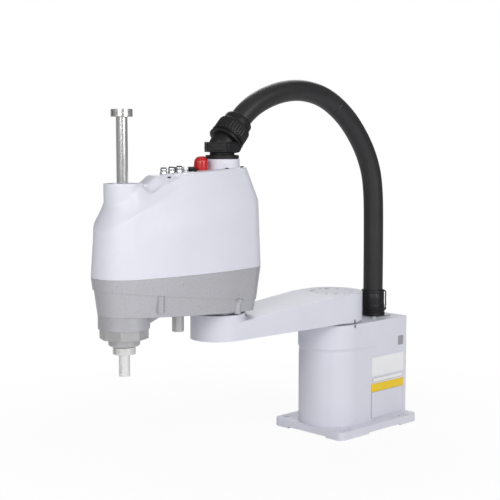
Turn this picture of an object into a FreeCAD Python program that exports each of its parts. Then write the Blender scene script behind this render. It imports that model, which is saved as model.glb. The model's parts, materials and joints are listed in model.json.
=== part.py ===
"""Four axis SCARA robot with a hollow spline shaft, modelled as the pieces it is assembled from.

Millimetres, +Z up, +X from the first joint towards the tool. The origin is on the first joint's axis,
at the mounting face of the base. The arm is straight, with both zero marks in line.
"""
import FreeCAD, Part
import math
import os
import re
import Sketcher

doc = FreeCAD.newDocument("scara_robot")
sheet = doc.addObject("Spreadsheet::Sheet", "sizes")
X_AXIS = FreeCAD.Vector(1, 0, 0)
Y_AXIS = FreeCAD.Vector(0, 1, 0)
Z_AXIS = FreeCAD.Vector(0, 0, 1)

# Driving dimensions: one name, one number, in millimetres or degrees.
SIZES = {
    # arm geometry
    "link_one": 325, "link_two": 225, "gap": 0.4, "seat": 0.05,
    # base casting
    "pad_height": 3, "pad_front": 88, "pad_rear": 58, "pad_width": 43, "notch_depth": 20,
    "flange_thick": 14, "flange_half": 96, "flange_front": 75, "flange_rear": 176, "flange_corner": 14,
    "hole_front": 52, "hole_rear": 128, "hole_side": 80, "hole_radius": 5.5, "dowel_offset": 19, "dowel_radius": 3,
    "column_half": 70, "column_inset": 1.6, "column_rear": 172, "column_top": 228.4, "column_band": 175,
    "column_wall": 7, "column_fade": 120, "column_corner": 8, "roof_thick": 12,
    # first joint
    "reducer_one_radius": 56, "reducer_one_depth": 34, "reducer_one_lip": 6, "output_radius": 50,
    "motor_one_half": 40, "motor_one_length": 92, "motor_chamfer": 6, "encoder_half": 30, "encoder_length": 26,
    # arm one
    "arm_one_radius": 65, "arm_two_end": 52.6, "arm_one_bottom": 233, "arm_one_boss": 3.2, "arm_one_top": 292,
    "arm_one_low_top": 267, "slope_start": 46, "elbow_top": 282.2, "arm_wall": 6, "arm_roof": 9,
    "screw_circle": 43.3, "screw_count": 14, "screw_head": 4.4, "screw_head_height": 5, "screw_shank": 2.5,
    "screw_sink": 6.5, "screw_play": 0.3, "plug_radius": 5, "plug_place": 34, "plug_height": 4,
    # second joint
    "reducer_two_radius": 42, "reducer_two_depth": 30, "reducer_two_lip": 5, "output_two_radius": 36,
    "motor_two_half": 30, "motor_two_length": 88, "stop_radius": 11, "stop_place": 100, "stop_length": 30,
    # arm two outline and casting
    "nose_radius": 57, "rear_place": 27, "rear_radius": 62, "side_radius": 660, "parting": 369.5,
    "cast_wall": 5, "cast_draft": 12, "floor_top": 312, "undercut": 2,
    "step_nose": 351, "step_rear": 300, "step_back": 100,
    "bottom_nose": 305, "bottom_rear": 282.6, "nose_reach": 70, "boss_radius": 46, "boss_bottom": 278.4,
    "side_boss_radius": 7.5, "side_boss_front": 37, "side_boss_rear": 3, "side_boss_low": 308,
    "side_boss_side": 57, "web_half": 7, "web_end": 75,
    # cover
    "cover_wall": 3, "cover_draft": 4, "crease_nose": 441, "crease_tilt": 10.4, "crown_height": 108,
    "crown_rear": 20, "crown_nose": 48.6, "crown_side": 1500,
    "spine_height": 476, "spine_tilt": 14, "spine_lean": 27.5,
    "spine_nose": 56.8, "spine_rear": 48, "spine_side": 900, "spine_shift": 10, "spine_drop": 186, "spine_rise": 80,
    "pillar_radius": 5, "pillar_place": 28, "pillar_side": 33, "pillar_top": 511,
    "spine_back": 350, "platform_nose": 546, "platform_rear": 563.5,
    "platform_start": 66, "ramp_foot": 43, "ramp_foot_height": 530,
    "tube_radius": 33, "tube_wall": 2.6, "tube_top": 533.4, "cover_play": 0.3,
    "crease_round": 8, "rim_round": 5, "ramp_round": 10, "tube_round": 8,
    # quill
    "shaft_radius": 10, "shaft_bore": 7, "shaft_low": 192.5, "shaft_high": 662, "groove_radius": 1.6, "groove_count": 4,
    "collar_radius": 19, "collar_height": 13, "low_collar_radius": 20.5, "low_collar_height": 12.5,
    "low_collar_top": 245.2, "ring_radius": 28, "ring_bottom": 247, "ring_chamfer": 2.5, "clamp_gap": 1.6,
    "shaft_play": 0.05, "retainer_radius": 43.5, "retainer_bottom": 260.6, "retainer_flat": 40.5, "nut_radius": 24,
    "nut_top": 349, "flange_screw_circle": 36, "flange_screw_count": 6,
    "tool_end": 36.5, "relief_width": 1.2, "relief_depth": 0.5,
    "tool_flat_low": 7.5, "tool_flat_height": 13, "tool_flat_depth": 1.2,
    # belts and pulleys
    "driven_radius": 30, "drive_radius": 15, "belt_width": 12, "belt_thick": 2.4, "belt_pitch": 5, "tooth_gap": 1.1, "pulley_rim": 2, "rim_height": 1.6,
    "plate_room": 11.8, "plate_thick": 8, "plate_half": 42, "plate_rear": 167, "shelf_room": 5.4,
    "leg_radius": 4, "leg_turn": 47,
    "motor_four_place": 148, "motor_three_place": 84, "motor_three_half": 28, "motor_three_length": 72,
    "ball_nut_radius": 22, "ball_nut_length": 56, "bearing_radius": 38, "bearing_height": 11,
    # equipment on the head
    "duct_place": 12, "duct_radius": 33, "duct_top": 573, "duct_wall": 3, "duct_ring": 31.8, "duct_ring_top": 580.4,
    "duct_neck": 23.4, "hex_bottom": 586, "hex_top": 605, "hex_radius": 35, "elbow_height": 598, "elbow_radius": 25,
    "elbow_tilt": 43, "nut_start": 11, "nut_length": 53, "nut_wide": 34, "nut_narrow": 27.5,
    "nut_waist": 31, "nut_body": 32.5, "nut_flange": 9, "nut_grip": 16, "flute_count": 24, "flute_radius": 2,
    "hose_radius": 21, "lamp_place": 41, "lamp_radius": 13, "lamp_height": 22.5, "lamp_foot": 3.7,
    "fitting_place": 131.5, "fitting_pitch": 18.5, "fitting_radius": 6.5, "fitting_height": 12.5, "fitting_count": 3,
    "port_place": 76, "port_length": 31, "port_width": 12.5, "port_height": 8, "port_side": 17,
    "button_place": 65, "button_half": 8, "button_height": 5, "button_radius": 5, "button_travel": 2,
    "button_rise": 3, "button_floor": 0.8,
    # conduit fitting on the base
    "conduit_x": 115, "conduit_y": 18, "conduit_plate": 3, "conduit_half": 29,
    "conduit_high": 286, "conduit_radius": 24.5, "conduit_ring": 26, "conduit_ring_height": 3.4, "conduit_bore": 13,
    "conduit_grip": 12, "conduit_latch": 4.5, "conduit_latch_width": 12, "conduit_latch_height": 26,
    "conduit_screw_height": 1.2,
    # rear panel
    "panel_thick": 3, "panel_half": 56, "panel_low": 40, "panel_high": 200, "panel_margin": 6,
    "power_place": 160, "power_radius": 17, "power_length": 18, "signal_place": 115, "signal_length": 52,
    "signal_width": 18, "signal_depth": 11, "panel_fitting_place": 72, "panel_fitting_pitch": 22,
}

for row, (alias, number) in enumerate(SIZES.items(), start=1):
    sheet.set("A%d" % row, alias)
    sheet.set("B%d" % row, "%g" % number)
    sheet.setAlias("B%d" % row, alias)
doc.recompute()

nodes = []
WORD = re.compile(r"[a-z][a-z_]*")


def tie(text):
    """Turn the names in a sum of sizes into cells of the sheet."""
    return WORD.sub(lambda word: "sizes." + word.group() if word.group() in SIZES else word.group(), str(text))


def worth(text):
    """The number that a sum of sizes comes to, worked out in a spare cell of the sheet."""
    sheet.set("D1", "=" + str(text))
    sheet.recompute()
    number = float(sheet.get("D1"))
    sheet.clear("D1")
    return number


def bind(thing, **sums):
    """Bind properties of an object to sums of sizes."""
    for prop, text in sums.items():
        thing.setExpression(prop, tie(text))
    return thing


def put(thing, x="0", y="0", z="0", axis=None, angle=0):
    """Place an object at a point given as sums of sizes, turned about an axis."""
    if axis is not None:
        thing.Placement = FreeCAD.Placement(FreeCAD.Vector(), FreeCAD.Rotation(axis, angle))
    for letter, text in zip("xyz", (x, y, z)):
        thing.setExpression("Placement.Base." + letter, tie(text))
    return thing


def node(thing, label):
    """Give a finished sub-part its name and keep it for export."""
    thing.Label = label
    nodes.append(thing)
    return thing


def cylinder(radius, height, x="0", y="0", z="0", axis=None, angle=0):
    rod = doc.addObject("Part::Cylinder", "rod")
    bind(rod, Radius=radius, Height=height)
    return put(rod, x, y, z, axis, angle)


def cone(low, high, height, x="0", y="0", z="0", axis=None, angle=0):
    taper = doc.addObject("Part::Cone", "taper")
    bind(taper, Radius1=low, Radius2=high, Height=height)
    return put(taper, x, y, z, axis, angle)


def ball(radius, x="0", y="0", z="0"):
    sphere = doc.addObject("Part::Sphere", "sphere")
    bind(sphere, Radius=radius)
    return put(sphere, x, y, z)


def block(length, width, height, x="0", y="0", z="0"):
    """A box centred on x and y, standing on z."""
    box = doc.addObject("Part::Box", "block")
    bind(box, Length=length, Width=width, Height=height)
    return put(box, "(%s) - (%s) / 2" % (x, length), "(%s) - (%s) / 2" % (y, width), z)


def fuse(*pieces):
    whole = doc.addObject("Part::MultiFuse", "whole")
    whole.Shapes = list(pieces)
    whole.Refine = True
    return whole


def common(*pieces):
    shared = doc.addObject("Part::MultiCommon", "shared")
    shared.Shapes = list(pieces)
    return shared


def group(*pieces):
    """Separate solids kept together, such as a set of screws."""
    several = doc.addObject("Part::Compound", "several")
    several.Links = list(pieces)
    return several


def cut(base, *tools):
    remains = doc.addObject("Part::Cut", "remains")
    remains.Base = base
    remains.Tool = tools[0] if len(tools) == 1 else fuse(*tools)
    remains.Refine = True
    return remains


def new_body(x="0", y="0", z="0", axis=None, angle=0):
    return put(doc.addObject("PartDesign::Body", "body"), x, y, z, axis, angle)


def sketch_on(body, role, height=None, tilt=None):
    """A sketch on one of the body's own origin planes, raised and tilted about Y if asked."""
    sketch = body.newObject("Sketcher::SketchObject", "sketch")
    plane = [part for part in body.Origin.OriginFeatures if part.Role == role][0]
    sketch.AttachmentSupport = (plane, [""])
    sketch.MapMode = "FlatFace"
    if tilt is not None:
        sketch.AttachmentOffset = FreeCAD.Placement(FreeCAD.Vector(), FreeCAD.Rotation(Y_AXIS, 1))
        sketch.setExpression("AttachmentOffset.Rotation.Angle", tie(tilt))
    if height is not None:
        sketch.setExpression("AttachmentOffset.Base.z", tie(height))
    return sketch


def dimension(sketch, *limits):
    """Add one driving dimension whose value is a sum of sizes."""
    *terms, text = limits
    index = sketch.addConstraint(Sketcher.Constraint(*terms, 1.0))
    sketch.setExpression("Constraints[%d]" % index, tie(text))


def polygon(sketch, points):
    """A closed outline of straight lines, every corner held by two dimensions from the origin."""
    count = len(points)
    turn = 2 * math.pi / count
    rough = [FreeCAD.Vector(math.cos(turn * i), math.sin(turn * i), 0) for i in range(count)]
    for i in range(count):
        sketch.addGeometry(Part.LineSegment(rough[i], rough[(i + 1) % count]))
    for i in range(count):
        sketch.addConstraint(Sketcher.Constraint("Coincident", i, 2, (i + 1) % count, 1))
    for i, (across, up) in enumerate(points):
        dimension(sketch, "DistanceX", -1, 1, i, 1, across)
        dimension(sketch, "DistanceY", -1, 1, i, 1, up)


def pad(body, sketch, length, midplane=False):
    feature = body.newObject("PartDesign::Pad", "pad")
    feature.Profile = sketch
    feature.Midplane = midplane
    bind(feature, Length=length)
    return feature


def prism(role, points, length, midplane=False, **where):
    """A polygon on an origin plane, padded along that plane's normal."""
    body = new_body(**where)
    sketch = sketch_on(body, role)
    polygon(sketch, points)
    pad(body, sketch, length, midplane)
    return body


def round_uprights(body, radius, direction=Z_AXIS, rear_only=False):
    """Round the straight edges of a body that run along one direction, all of them or only the rearmost."""
    doc.recompute()
    tip = body.Tip
    chosen = []
    rear = tip.Shape.BoundBox.XMin
    for number, edge in enumerate(tip.Shape.Edges, start=1):
        along = edge.Curve.TypeId == "Part::GeomLine" and abs(abs(edge.tangentAt(0).dot(direction)) - 1) < 1e-6
        if along and (edge.BoundBox.XMax < rear + CLOSE or not rear_only):
            chosen.append("Edge%d" % number)
    soften = body.newObject("PartDesign::Fillet", "soften")
    soften.Base = (tip, chosen)
    bind(soften, Radius=radius)
    return body


def turned(points, **where):
    """A ring or stepped rod, revolved about its own Z axis from radius and height pairs."""
    body = new_body(**where)
    sketch = sketch_on(body, "XZ_Plane")
    polygon(sketch, points)
    spin = body.newObject("PartDesign::Revolution", "spin")
    spin.Profile = sketch
    spin.ReferenceAxis = (sketch, ["V_Axis"])
    spin.Angle = 360
    return body


def ring(inner, outer, low, high, x="0", y="0"):
    return turned([(inner, low), (outer, low), (outer, high), (inner, high)], x=x, y=y)


def around(count, circle, x="0", y="0", start=0):
    """Places spread evenly on a circle, as sums of sizes."""
    step = 360 / count
    places = []
    for i in range(count):
        turn = start + i * step
        places.append(("(%s) + (%s) * cos(%g)" % (x, circle, turn), "(%s) + (%s) * sin(%g)" % (y, circle, turn)))
    return places


def cap_screws(places, seat, head, head_height, shank, depth, up=1):
    """Cap screws on one seat height, heads above it or, with up = -1, below it."""
    screws = []
    for x, y in places:
        top = seat if up > 0 else "(%s) - (%s)" % (seat, head_height)
        foot = "(%s) - (%s)" % (seat, depth) if up > 0 else seat
        screws.append(fuse(cylinder(head, head_height, x, y, top), cylinder(shank, depth, x, y, foot)))
    return group(*screws)


def holes(places, radius, low, high):
    """Drills for one set of places, from one height to another."""
    return [cylinder(radius, "(%s) - (%s)" % (high, low), x, y, low) for x, y in places]


def taper_outline(sketch, near, far, length):
    """Two arcs of different radius joined by their common tangents."""
    big, small, span = worth(near), worth(far), worth(length)
    lean = math.asin((big - small) / span)
    ends = []
    for radius, place in ((big, 0), (small, span)):
        ends.append((place + radius * math.sin(lean), radius * math.cos(lean)))
    centres = (FreeCAD.Vector(0, 0, 0), FreeCAD.Vector(span, 0, 0))
    quarter = math.pi / 2
    near_circle = Part.Circle(centres[0], Z_AXIS, big)
    far_circle = Part.Circle(centres[1], Z_AXIS, small)
    points = [FreeCAD.Vector(x, side * y, 0) for side in (-1, 1) for x, y in ends]
    sketch.addGeometry(Part.ArcOfCircle(near_circle, quarter - lean, 3 * quarter + lean))
    sketch.addGeometry(Part.LineSegment(points[0], points[1]))
    sketch.addGeometry(Part.ArcOfCircle(far_circle, lean - quarter, quarter - lean))
    sketch.addGeometry(Part.LineSegment(points[3], points[2]))
    close_round(sketch, near, far, length)


def barrel_outline(sketch, near, far, length, side):
    """A rounded tail and nose joined by two long arcs that bulge outwards, all tangent."""
    tail, nose, span, bulge = worth(near), worth(far), worth(length), worth(side)
    across = (span ** 2 + (bulge - tail) ** 2 - (bulge - nose) ** 2) / (2 * span)
    drop = math.sqrt((bulge - tail) ** 2 - across ** 2)
    at_nose = math.atan2(drop, span - across)
    at_tail = math.atan2(drop, -across)
    tail_circle = Part.Circle(FreeCAD.Vector(0, 0, 0), Z_AXIS, tail)
    nose_circle = Part.Circle(FreeCAD.Vector(span, 0, 0), Z_AXIS, nose)
    right_circle = Part.Circle(FreeCAD.Vector(across, drop, 0), Z_AXIS, bulge)
    left_circle = Part.Circle(FreeCAD.Vector(across, -drop, 0), Z_AXIS, bulge)
    sketch.addGeometry(Part.ArcOfCircle(tail_circle, at_tail, 2 * math.pi - at_tail))
    sketch.addGeometry(Part.ArcOfCircle(right_circle, -at_tail, -at_nose))
    sketch.addGeometry(Part.ArcOfCircle(nose_circle, -at_nose, at_nose))
    sketch.addGeometry(Part.ArcOfCircle(left_circle, at_nose, at_tail))
    close_round(sketch, near, far, length)
    dimension(sketch, "Radius", 1, side)
    dimension(sketch, "Radius", 3, side)


def loft(body, profile, *sections):
    """Straight-sided loft through sketches whose edges match one to one."""
    skin = body.newObject("PartDesign::AdditiveLoft", "skin")
    skin.Profile = profile
    skin.Sections = [(sketch, [""]) for sketch in sections]
    skin.Ruled = True
    return skin


# An edge is smooth when its faces meet within this angle in radians, a face looks up beyond this cosine, and
# a point lies on a wall when it is this close to it.
SMOOTH = 0.05
UPWARD = 0.7
CLOSE = 0.1


def close_round(sketch, near, far, length):
    """Tangent joints, centres on the axis and radii shared by both round outlines."""
    for i in range(4):
        sketch.addConstraint(Sketcher.Constraint("Tangent", i, 2, (i + 1) % 4, 1))
    sketch.addConstraint(Sketcher.Constraint("Coincident", 0, 3, -1, 1))
    sketch.addConstraint(Sketcher.Constraint("PointOnObject", 2, 3, -1))
    dimension(sketch, "DistanceX", -1, 1, 2, 3, length)
    dimension(sketch, "Radius", 0, near)
    dimension(sketch, "Radius", 2, far)


# Places along the arm that most pieces share.
ELBOW = "link_one"
TOOL = "link_one + link_two"
FLANGE_TOP = "pad_height + flange_thick"
ROOF_UNDER = "column_top - roof_thick"
ROLL_BELT = "nut_top + rim_height"
PLATE_LOW = "nut_top + 2 * rim_height + belt_width + plate_room"
PLATE_TOP = PLATE_LOW + " + plate_thick"
LIFT_BELT = PLATE_TOP + " + bearing_height + gap + rim_height"
SHELF_LOW = LIFT_BELT + " + belt_width + rim_height + shelf_room"
BASE_BOLTS = [(x, y) for x in ("hole_front", "-hole_rear") for y in ("hole_side", "-hole_side")]


def base_casting():
    """Foot flange with machined pads, and a D-shaped column that is open at the back."""
    front = "flange_front"
    rear = "-flange_rear"
    half = "flange_half"
    flange = prism("XY_Plane", [(front, "-flange_half"), (front, half), (rear, half), (rear, "-flange_half")],
                   FLANGE_TOP)
    round_uprights(flange, "flange_corner")
    between = "flange_front + flange_rear - pad_front - pad_rear"
    middle = "(flange_front - pad_front + pad_rear - flange_rear) / 2"
    notches = [block("2 * notch_depth", "2 * (flange_half - pad_width)", "pad_height", end) for end in (front, rear)]
    for side in (half, "-flange_half"):
        notches.append(block(between, "2 * notch_depth", "pad_height", middle, side))
    inset = "column_half - column_inset"
    lower = prism("XY_Plane",
                  [("0", "-(%s)" % inset), ("0", inset), ("-column_fade", "column_half"),
                   ("-column_rear", "column_half"), ("-column_rear", "-column_half"),
                   ("-column_fade", "-column_half")],
                  "column_band - pad_height", z="pad_height")
    upper = prism("XY_Plane",
                  [("0", "-column_half"), ("0", "column_half"), ("-column_rear", "column_half"),
                   ("-column_rear", "-column_half")],
                  "column_top - column_band", z="column_band")
    for column in (lower, upper):
        round_uprights(column, "column_corner", rear_only=True)
    lower_front = cylinder(inset, "column_band - pad_height", z="pad_height")
    upper_front = cylinder("column_half", "column_top - column_band", z="column_band")
    outside = fuse(cut(flange, *notches), lower, upper, lower_front, upper_front)
    room_half = "column_half - column_wall"
    room_height = "%s - (%s)" % (ROOF_UNDER, FLANGE_TOP)
    depth = "column_rear - column_wall"
    room = block(depth, "2 * (%s)" % room_half, room_height, "-(%s) / 2" % depth, "0", FLANGE_TOP)
    window = block("3 * column_wall", "2 * (panel_half - panel_margin)",
                   "panel_high - panel_low - 2 * panel_margin", "-column_rear", "0", "panel_low + panel_margin")
    round_room = cylinder(room_half, room_height, z=FLANGE_TOP)
    bore = cylinder("reducer_one_radius + seat", "roof_thick", z=ROOF_UNDER)
    passage = cylinder("conduit_bore", "roof_thick", "-conduit_x", "conduit_y", ROOF_UNDER)
    bolts = holes(BASE_BOLTS, "hole_radius", "0", FLANGE_TOP)
    dowels = holes([("hole_front - dowel_offset", "hole_side"), ("dowel_offset - hole_rear", "hole_side")],
                   "dowel_radius", "0", FLANGE_TOP)
    return node(cut(outside, room, round_room, window, bore, passage, *bolts, *dowels), "base_casting")


def first_joint():
    """Strain wave reducer in the roof of the base, its motor below and its output disc above."""
    top = "column_top"
    low = "column_top - reducer_one_depth"
    reducer = turned([("output_radius / 2", low), ("reducer_one_radius", low), ("reducer_one_radius", top),
                      ("output_radius + gap", top), ("output_radius + gap", "column_top - reducer_one_lip"),
                      ("output_radius / 2", "column_top - reducer_one_lip")])
    node(reducer, "j1_reducer")
    motor_top = low
    flange = block("2 * motor_one_half", "2 * motor_one_half", "motor_chamfer", "0", "0",
                   "%s - motor_chamfer" % motor_top)
    can = block("2 * (motor_one_half - motor_chamfer / 2)", "2 * (motor_one_half - motor_chamfer / 2)",
                "motor_one_length", "0", "0", "%s - motor_chamfer - motor_one_length" % motor_top)
    cap = block("2 * encoder_half", "2 * encoder_half", "encoder_length", "0", "0",
                "%s - motor_chamfer - motor_one_length - encoder_length" % motor_top)
    spindle = cylinder("output_radius / 2 - gap", "reducer_one_depth - reducer_one_lip", z=low)
    node(fuse(flange, can, cap, spindle), "j1_motor")
    disc_low = "column_top - reducer_one_lip + gap"
    disc = cylinder("output_radius", "arm_one_bottom - (%s)" % disc_low, z=disc_low)
    sockets = holes(around(SIZES["screw_count"], "screw_circle"), "screw_shank + screw_play", disc_low,
                    "arm_one_bottom")
    node(cut(disc, *sockets), "j1_output_disc")


def arm_one():
    """Tapered arm casting whose roof slopes down to a round elbow boss."""
    body = new_body(z="arm_one_bottom")
    sketch = sketch_on(body, "XY_Plane")
    taper_outline(sketch, "arm_one_radius", "arm_two_end", ELBOW)
    pad(body, sketch, "arm_one_top - arm_one_bottom")
    behind = "-arm_one_radius - arm_wall"
    ahead = "link_one + arm_two_end + arm_wall"
    slope = "(arm_one_top - arm_one_low_top) / (link_one - slope_start)"
    profile = prism("XZ_Plane",
                    [(behind, "arm_one_bottom"), (ahead, "arm_one_bottom"),
                     (ahead, "arm_one_top - (%s - slope_start) * %s" % (ahead, slope)),
                     ("slope_start", "arm_one_top"), (behind, "arm_one_top")],
                    "4 * arm_one_radius", midplane=True)
    elbow = cylinder("arm_two_end", "elbow_top - arm_one_bottom", ELBOW, "0", "arm_one_bottom")
    collar = ring("output_radius + seat", "arm_one_radius - arm_one_boss", "arm_one_bottom - arm_one_boss + gap",
                  "arm_one_bottom")
    outside = fuse(common(body, profile), elbow, collar)
    inner = new_body(z="arm_one_bottom + arm_wall")
    sketch = sketch_on(inner, "XY_Plane")
    taper_outline(sketch, "arm_one_radius - arm_wall", "arm_two_end - arm_wall", ELBOW)
    pad(inner, sketch, "arm_one_top - arm_one_bottom")
    cavity_profile = prism("XZ_Plane",
                           [("arm_one_radius", "arm_one_bottom + arm_wall"),
                            ("link_one - arm_two_end", "arm_one_bottom + arm_wall"),
                            ("link_one - arm_two_end", "arm_one_low_top - arm_wall"),
                            ("arm_one_radius", "arm_one_top - arm_roof")],
                           "4 * arm_one_radius", midplane=True)
    cavity = common(inner, cavity_profile)
    places = around(SIZES["screw_count"], "screw_circle")
    shanks = holes(places, "screw_shank + screw_play", "arm_one_bottom", "arm_one_top")
    heads = holes(places, "screw_head + screw_play", "arm_one_top - screw_sink", "arm_one_top")
    plug_hole = cylinder("plug_radius + seat", "plug_height", "-plug_place * cos(60)", "-plug_place * sin(60)",
                         "arm_one_top - plug_height")
    pocket = cylinder("reducer_two_radius + seat", "reducer_two_depth", ELBOW, "0", "elbow_top - reducer_two_depth")
    node(cut(outside, cavity, pocket, plug_hole, *shanks, *heads), "arm_one_casting")
    screws = cap_screws(places, "arm_one_top - screw_sink", "screw_head", "screw_head_height", "screw_shank",
                        "arm_one_top - screw_sink - column_top + reducer_one_lip - gap - screw_play")
    node(screws, "j1_output_screws")
    plug = cylinder("plug_radius", "plug_height", "-plug_place * cos(60)", "-plug_place * sin(60)",
                    "arm_one_top - plug_height")
    node(plug, "grease_plug")
    top = "elbow_top"
    low = "elbow_top - reducer_two_depth"
    reducer = turned([("output_two_radius / 2", low), ("reducer_two_radius", low), ("reducer_two_radius", top),
                      ("output_two_radius + gap", top), ("output_two_radius + gap", "elbow_top - reducer_two_lip"),
                      ("output_two_radius / 2", "elbow_top - reducer_two_lip")], x=ELBOW)
    node(reducer, "j2_reducer")


def barrel(low, low_inset, high, high_inset):
    """The head's plan outline lofted up between two heights, each with its own inset."""
    body = new_body(x="link_one - rear_place")
    ends = []
    for height, inset in ((low, low_inset), (high, high_inset)):
        sketch = sketch_on(body, "XY_Plane", height=height)
        barrel_outline(sketch, "rear_radius - (%s)" % inset, "nose_radius - (%s)" % inset, "link_two + rear_place",
                       "side_radius - (%s)" % inset)
        ends.append(sketch)
    loft(body, *ends)
    return body


def head_casting():
    """Lower half of the second arm: a tray with an undercut skirt, nose boss and web."""
    ahead = "link_one + link_two + nose_reach"
    behind = "link_one - step_back"
    wide = "4 * rear_radius"
    upper_cut = prism("XZ_Plane", [(behind, "step_rear"), (ahead, "step_nose"), (ahead, "parting"),
                                   (behind, "parting")], wide, midplane=True)
    lower_cut = prism("XZ_Plane", [(behind, "bottom_rear"), (ahead, "bottom_nose"), (ahead, "step_nose"),
                                   (behind, "step_rear")], wide, midplane=True)
    upper = common(barrel("boss_bottom", "cast_draft", "parting", "0"), upper_cut)
    bosses = []
    for x in ("link_one + link_two - side_boss_front", "link_one - side_boss_rear"):
        for side in ("side_boss_side", "-side_boss_side"):
            bosses.append(cylinder("side_boss_radius", "parting - side_boss_low", x, side, "side_boss_low"))
    skirt = barrel("boss_bottom", "cast_draft + undercut", "parting", "undercut")
    lower = common(fuse(skirt, *bosses), lower_cut)
    nose = cylinder("boss_radius", "floor_top - boss_bottom", TOOL, "0", "boss_bottom")
    elbow = cylinder("output_two_radius + cast_wall", "floor_top - elbow_top - 2 * gap", ELBOW, "0",
                     "elbow_top + 2 * gap")
    web = prism("XZ_Plane", [(TOOL, "boss_bottom"), (TOOL, "floor_top"),
                             ("link_one + link_two - boss_radius - web_end", "floor_top"),
                             ("link_one + link_two - boss_radius - web_end", "floor_top - cast_wall"),
                             ("link_one + link_two - boss_radius", "boss_bottom")],
                "2 * web_half", midplane=True)
    shell = fuse(upper, lower, nose, elbow, web)
    room_draft = "cast_draft * (parting - floor_top) / (parting - boss_bottom)"
    room = barrel("floor_top", "undercut + cast_wall + %s" % room_draft, "parting + seat", "undercut + cast_wall")
    bore = cylinder("nut_radius + cast_wall", "floor_top - boss_bottom", TOOL, "0", "boss_bottom")
    socket = cylinder("output_two_radius + seat", "bottom_rear - elbow_top + roof_thick", ELBOW, "0", "elbow_top")
    stub = cylinder("stop_radius / 2 + seat", "floor_top - bottom_rear", "link_one + stop_place", "0",
                    "bottom_rear")
    passage = cylinder("output_two_radius / 2", "floor_top - elbow_top", ELBOW, "0", "elbow_top")
    return node(cut(shell, room, bore, socket, passage, stub), "head_casting")


def rounded(thing, radii, keep):
    """Round the sharp edges of a form, each by the radius for its number of upward faces."""
    doc.recompute()
    chosen = []
    shape = thing.Shape
    for number, edge in enumerate(shape.Edges, start=1):
        middle = edge.valueAt((edge.FirstParameter + edge.LastParameter) / 2)
        sides = [face.normalAt(*face.Surface.parameter(middle)) for face in shape.ancestorsOfType(edge, Part.Face)]
        if keep(middle) and len(sides) == 2 and sides[0].getAngle(sides[1]) > SMOOTH:
            radius = worth(radii[sum(side.z > UPWARD for side in sides)])
            chosen.append((number, radius, radius))
    soft = doc.addObject("Part::Fillet", "soft")
    soft.Base = thing
    soft.Edges = chosen
    return soft


def tilted_barrel(sketch, rear, nose, length, tilt, side):
    """The rounded tail and nose outline on a plane that rises towards the base."""
    barrel_outline(sketch, rear, nose, "(%s) / cos(%s)" % (length, tilt), side)


def cover_form(inset, floor):
    """The cover's outer or inner form: a flank, a crown that leans in, a tilted spine and a stepped roof."""
    length = "link_two + rear_place"
    body = new_body(x="link_one - rear_place")
    foot = sketch_on(body, "XY_Plane", height=floor)
    barrel_outline(foot, "rear_radius - (%s)" % inset, "nose_radius - (%s)" % inset, length,
                   "side_radius - (%s)" % inset)
    rise = "crease_nose + (%s) * tan(crease_tilt)" % length
    crease = sketch_on(body, "XY_Plane", height=rise, tilt="crease_tilt")
    drawn = "%s + cover_draft" % inset
    tilted_barrel(crease, "rear_radius - (%s)" % drawn, "nose_radius - (%s)" % drawn, length, "crease_tilt",
                  "side_radius - (%s)" % drawn)
    crown = sketch_on(body, "XY_Plane", height="%s + crown_height" % rise, tilt="crease_tilt")
    tilted_barrel(crown, "crown_rear - (%s)" % inset, "crown_nose - (%s)" % inset, length, "crease_tilt",
                  "crown_side - (%s)" % inset)
    loft(body, foot, crease, crown)
    spine = new_body(x="link_one - rear_place")
    middle = "spine_height + (%s) * tan(spine_tilt)" % length
    levels = []
    for offset in ("-spine_drop", "spine_rise"):
        level = sketch_on(spine, "XY_Plane", height="%s + (%s)" % (middle, offset), tilt="spine_tilt")
        drawn = "%s + (%s) * tan(spine_lean)" % (inset, offset)
        tilted_barrel(level, "spine_rear - (%s)" % drawn, "spine_nose - (%s)" % drawn,
                      "%s - spine_shift" % length, "spine_tilt", "spine_side - (%s)" % drawn)
        levels.append(level)
    loft(spine, *levels)
    behind = "link_one + link_two - spine_back"
    roof = prism("XZ_Plane",
                 [(behind, floor), ("link_one + link_two + nose_reach", floor),
                  ("link_one + link_two + nose_reach", "ramp_foot_height - (%s)" % inset),
                  ("link_one + link_two - ramp_foot", "ramp_foot_height - (%s)" % inset),
                  ("link_one + link_two - platform_start", "platform_nose - (%s)" % inset),
                  (behind, "platform_rear - (%s)" % inset)],
                 "4 * rear_radius", midplane=True)
    return common(body, spine, roof)


def cover():
    """Moulded shell over the second arm, open underneath, with a round tube for the shaft."""
    crown = cover_form("0", "parting + cover_play")
    crease = worth("crease_nose + (link_two + rear_place) * tan(crease_tilt) + rim_round")
    slope = math.tan(math.radians(SIZES["crease_tilt"]))
    tail = worth("link_one - rear_place")
    radii = ("crease_round", "rim_round", "ramp_round")
    outer = rounded(crown, radii, lambda point: point.z > crease - (point.x - tail) * slope)
    tube = cylinder("tube_radius", "tube_top - crease_nose", TOOL, "0", "crease_nose")
    tool, radius, foot, top = worth(TOOL), worth("tube_radius"), worth("crease_nose"), worth("tube_top")

    def at_tube(point):
        """Where the tube leaves the shell: on its wall, above its foot and below its rim."""
        return abs(math.hypot(point.x - tool, point.y) - radius) < CLOSE and foot + CLOSE < point.z < top - CLOSE

    blended = rounded(fuse(outer, tube), 3 * ("tube_round",), at_tube)
    pillars = [cylinder("pillar_radius", "pillar_top - crease_nose", "link_one + link_two - pillar_place", side,
                        "crease_nose") for side in ("pillar_side", "-pillar_side")]
    inner = cover_form("cover_wall", "parting + cover_play")
    bore = cylinder("tube_radius - tube_wall", "tube_top - parting - cover_play", TOOL, "0", "parting + cover_play")
    cable_hole = cylinder("duct_radius - duct_wall", "duct_top - parting", "link_one - duct_place", "0", "parting")
    return node(cut(fuse(blended, *pillars), inner, bore, cable_hole), "head_cover")


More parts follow.
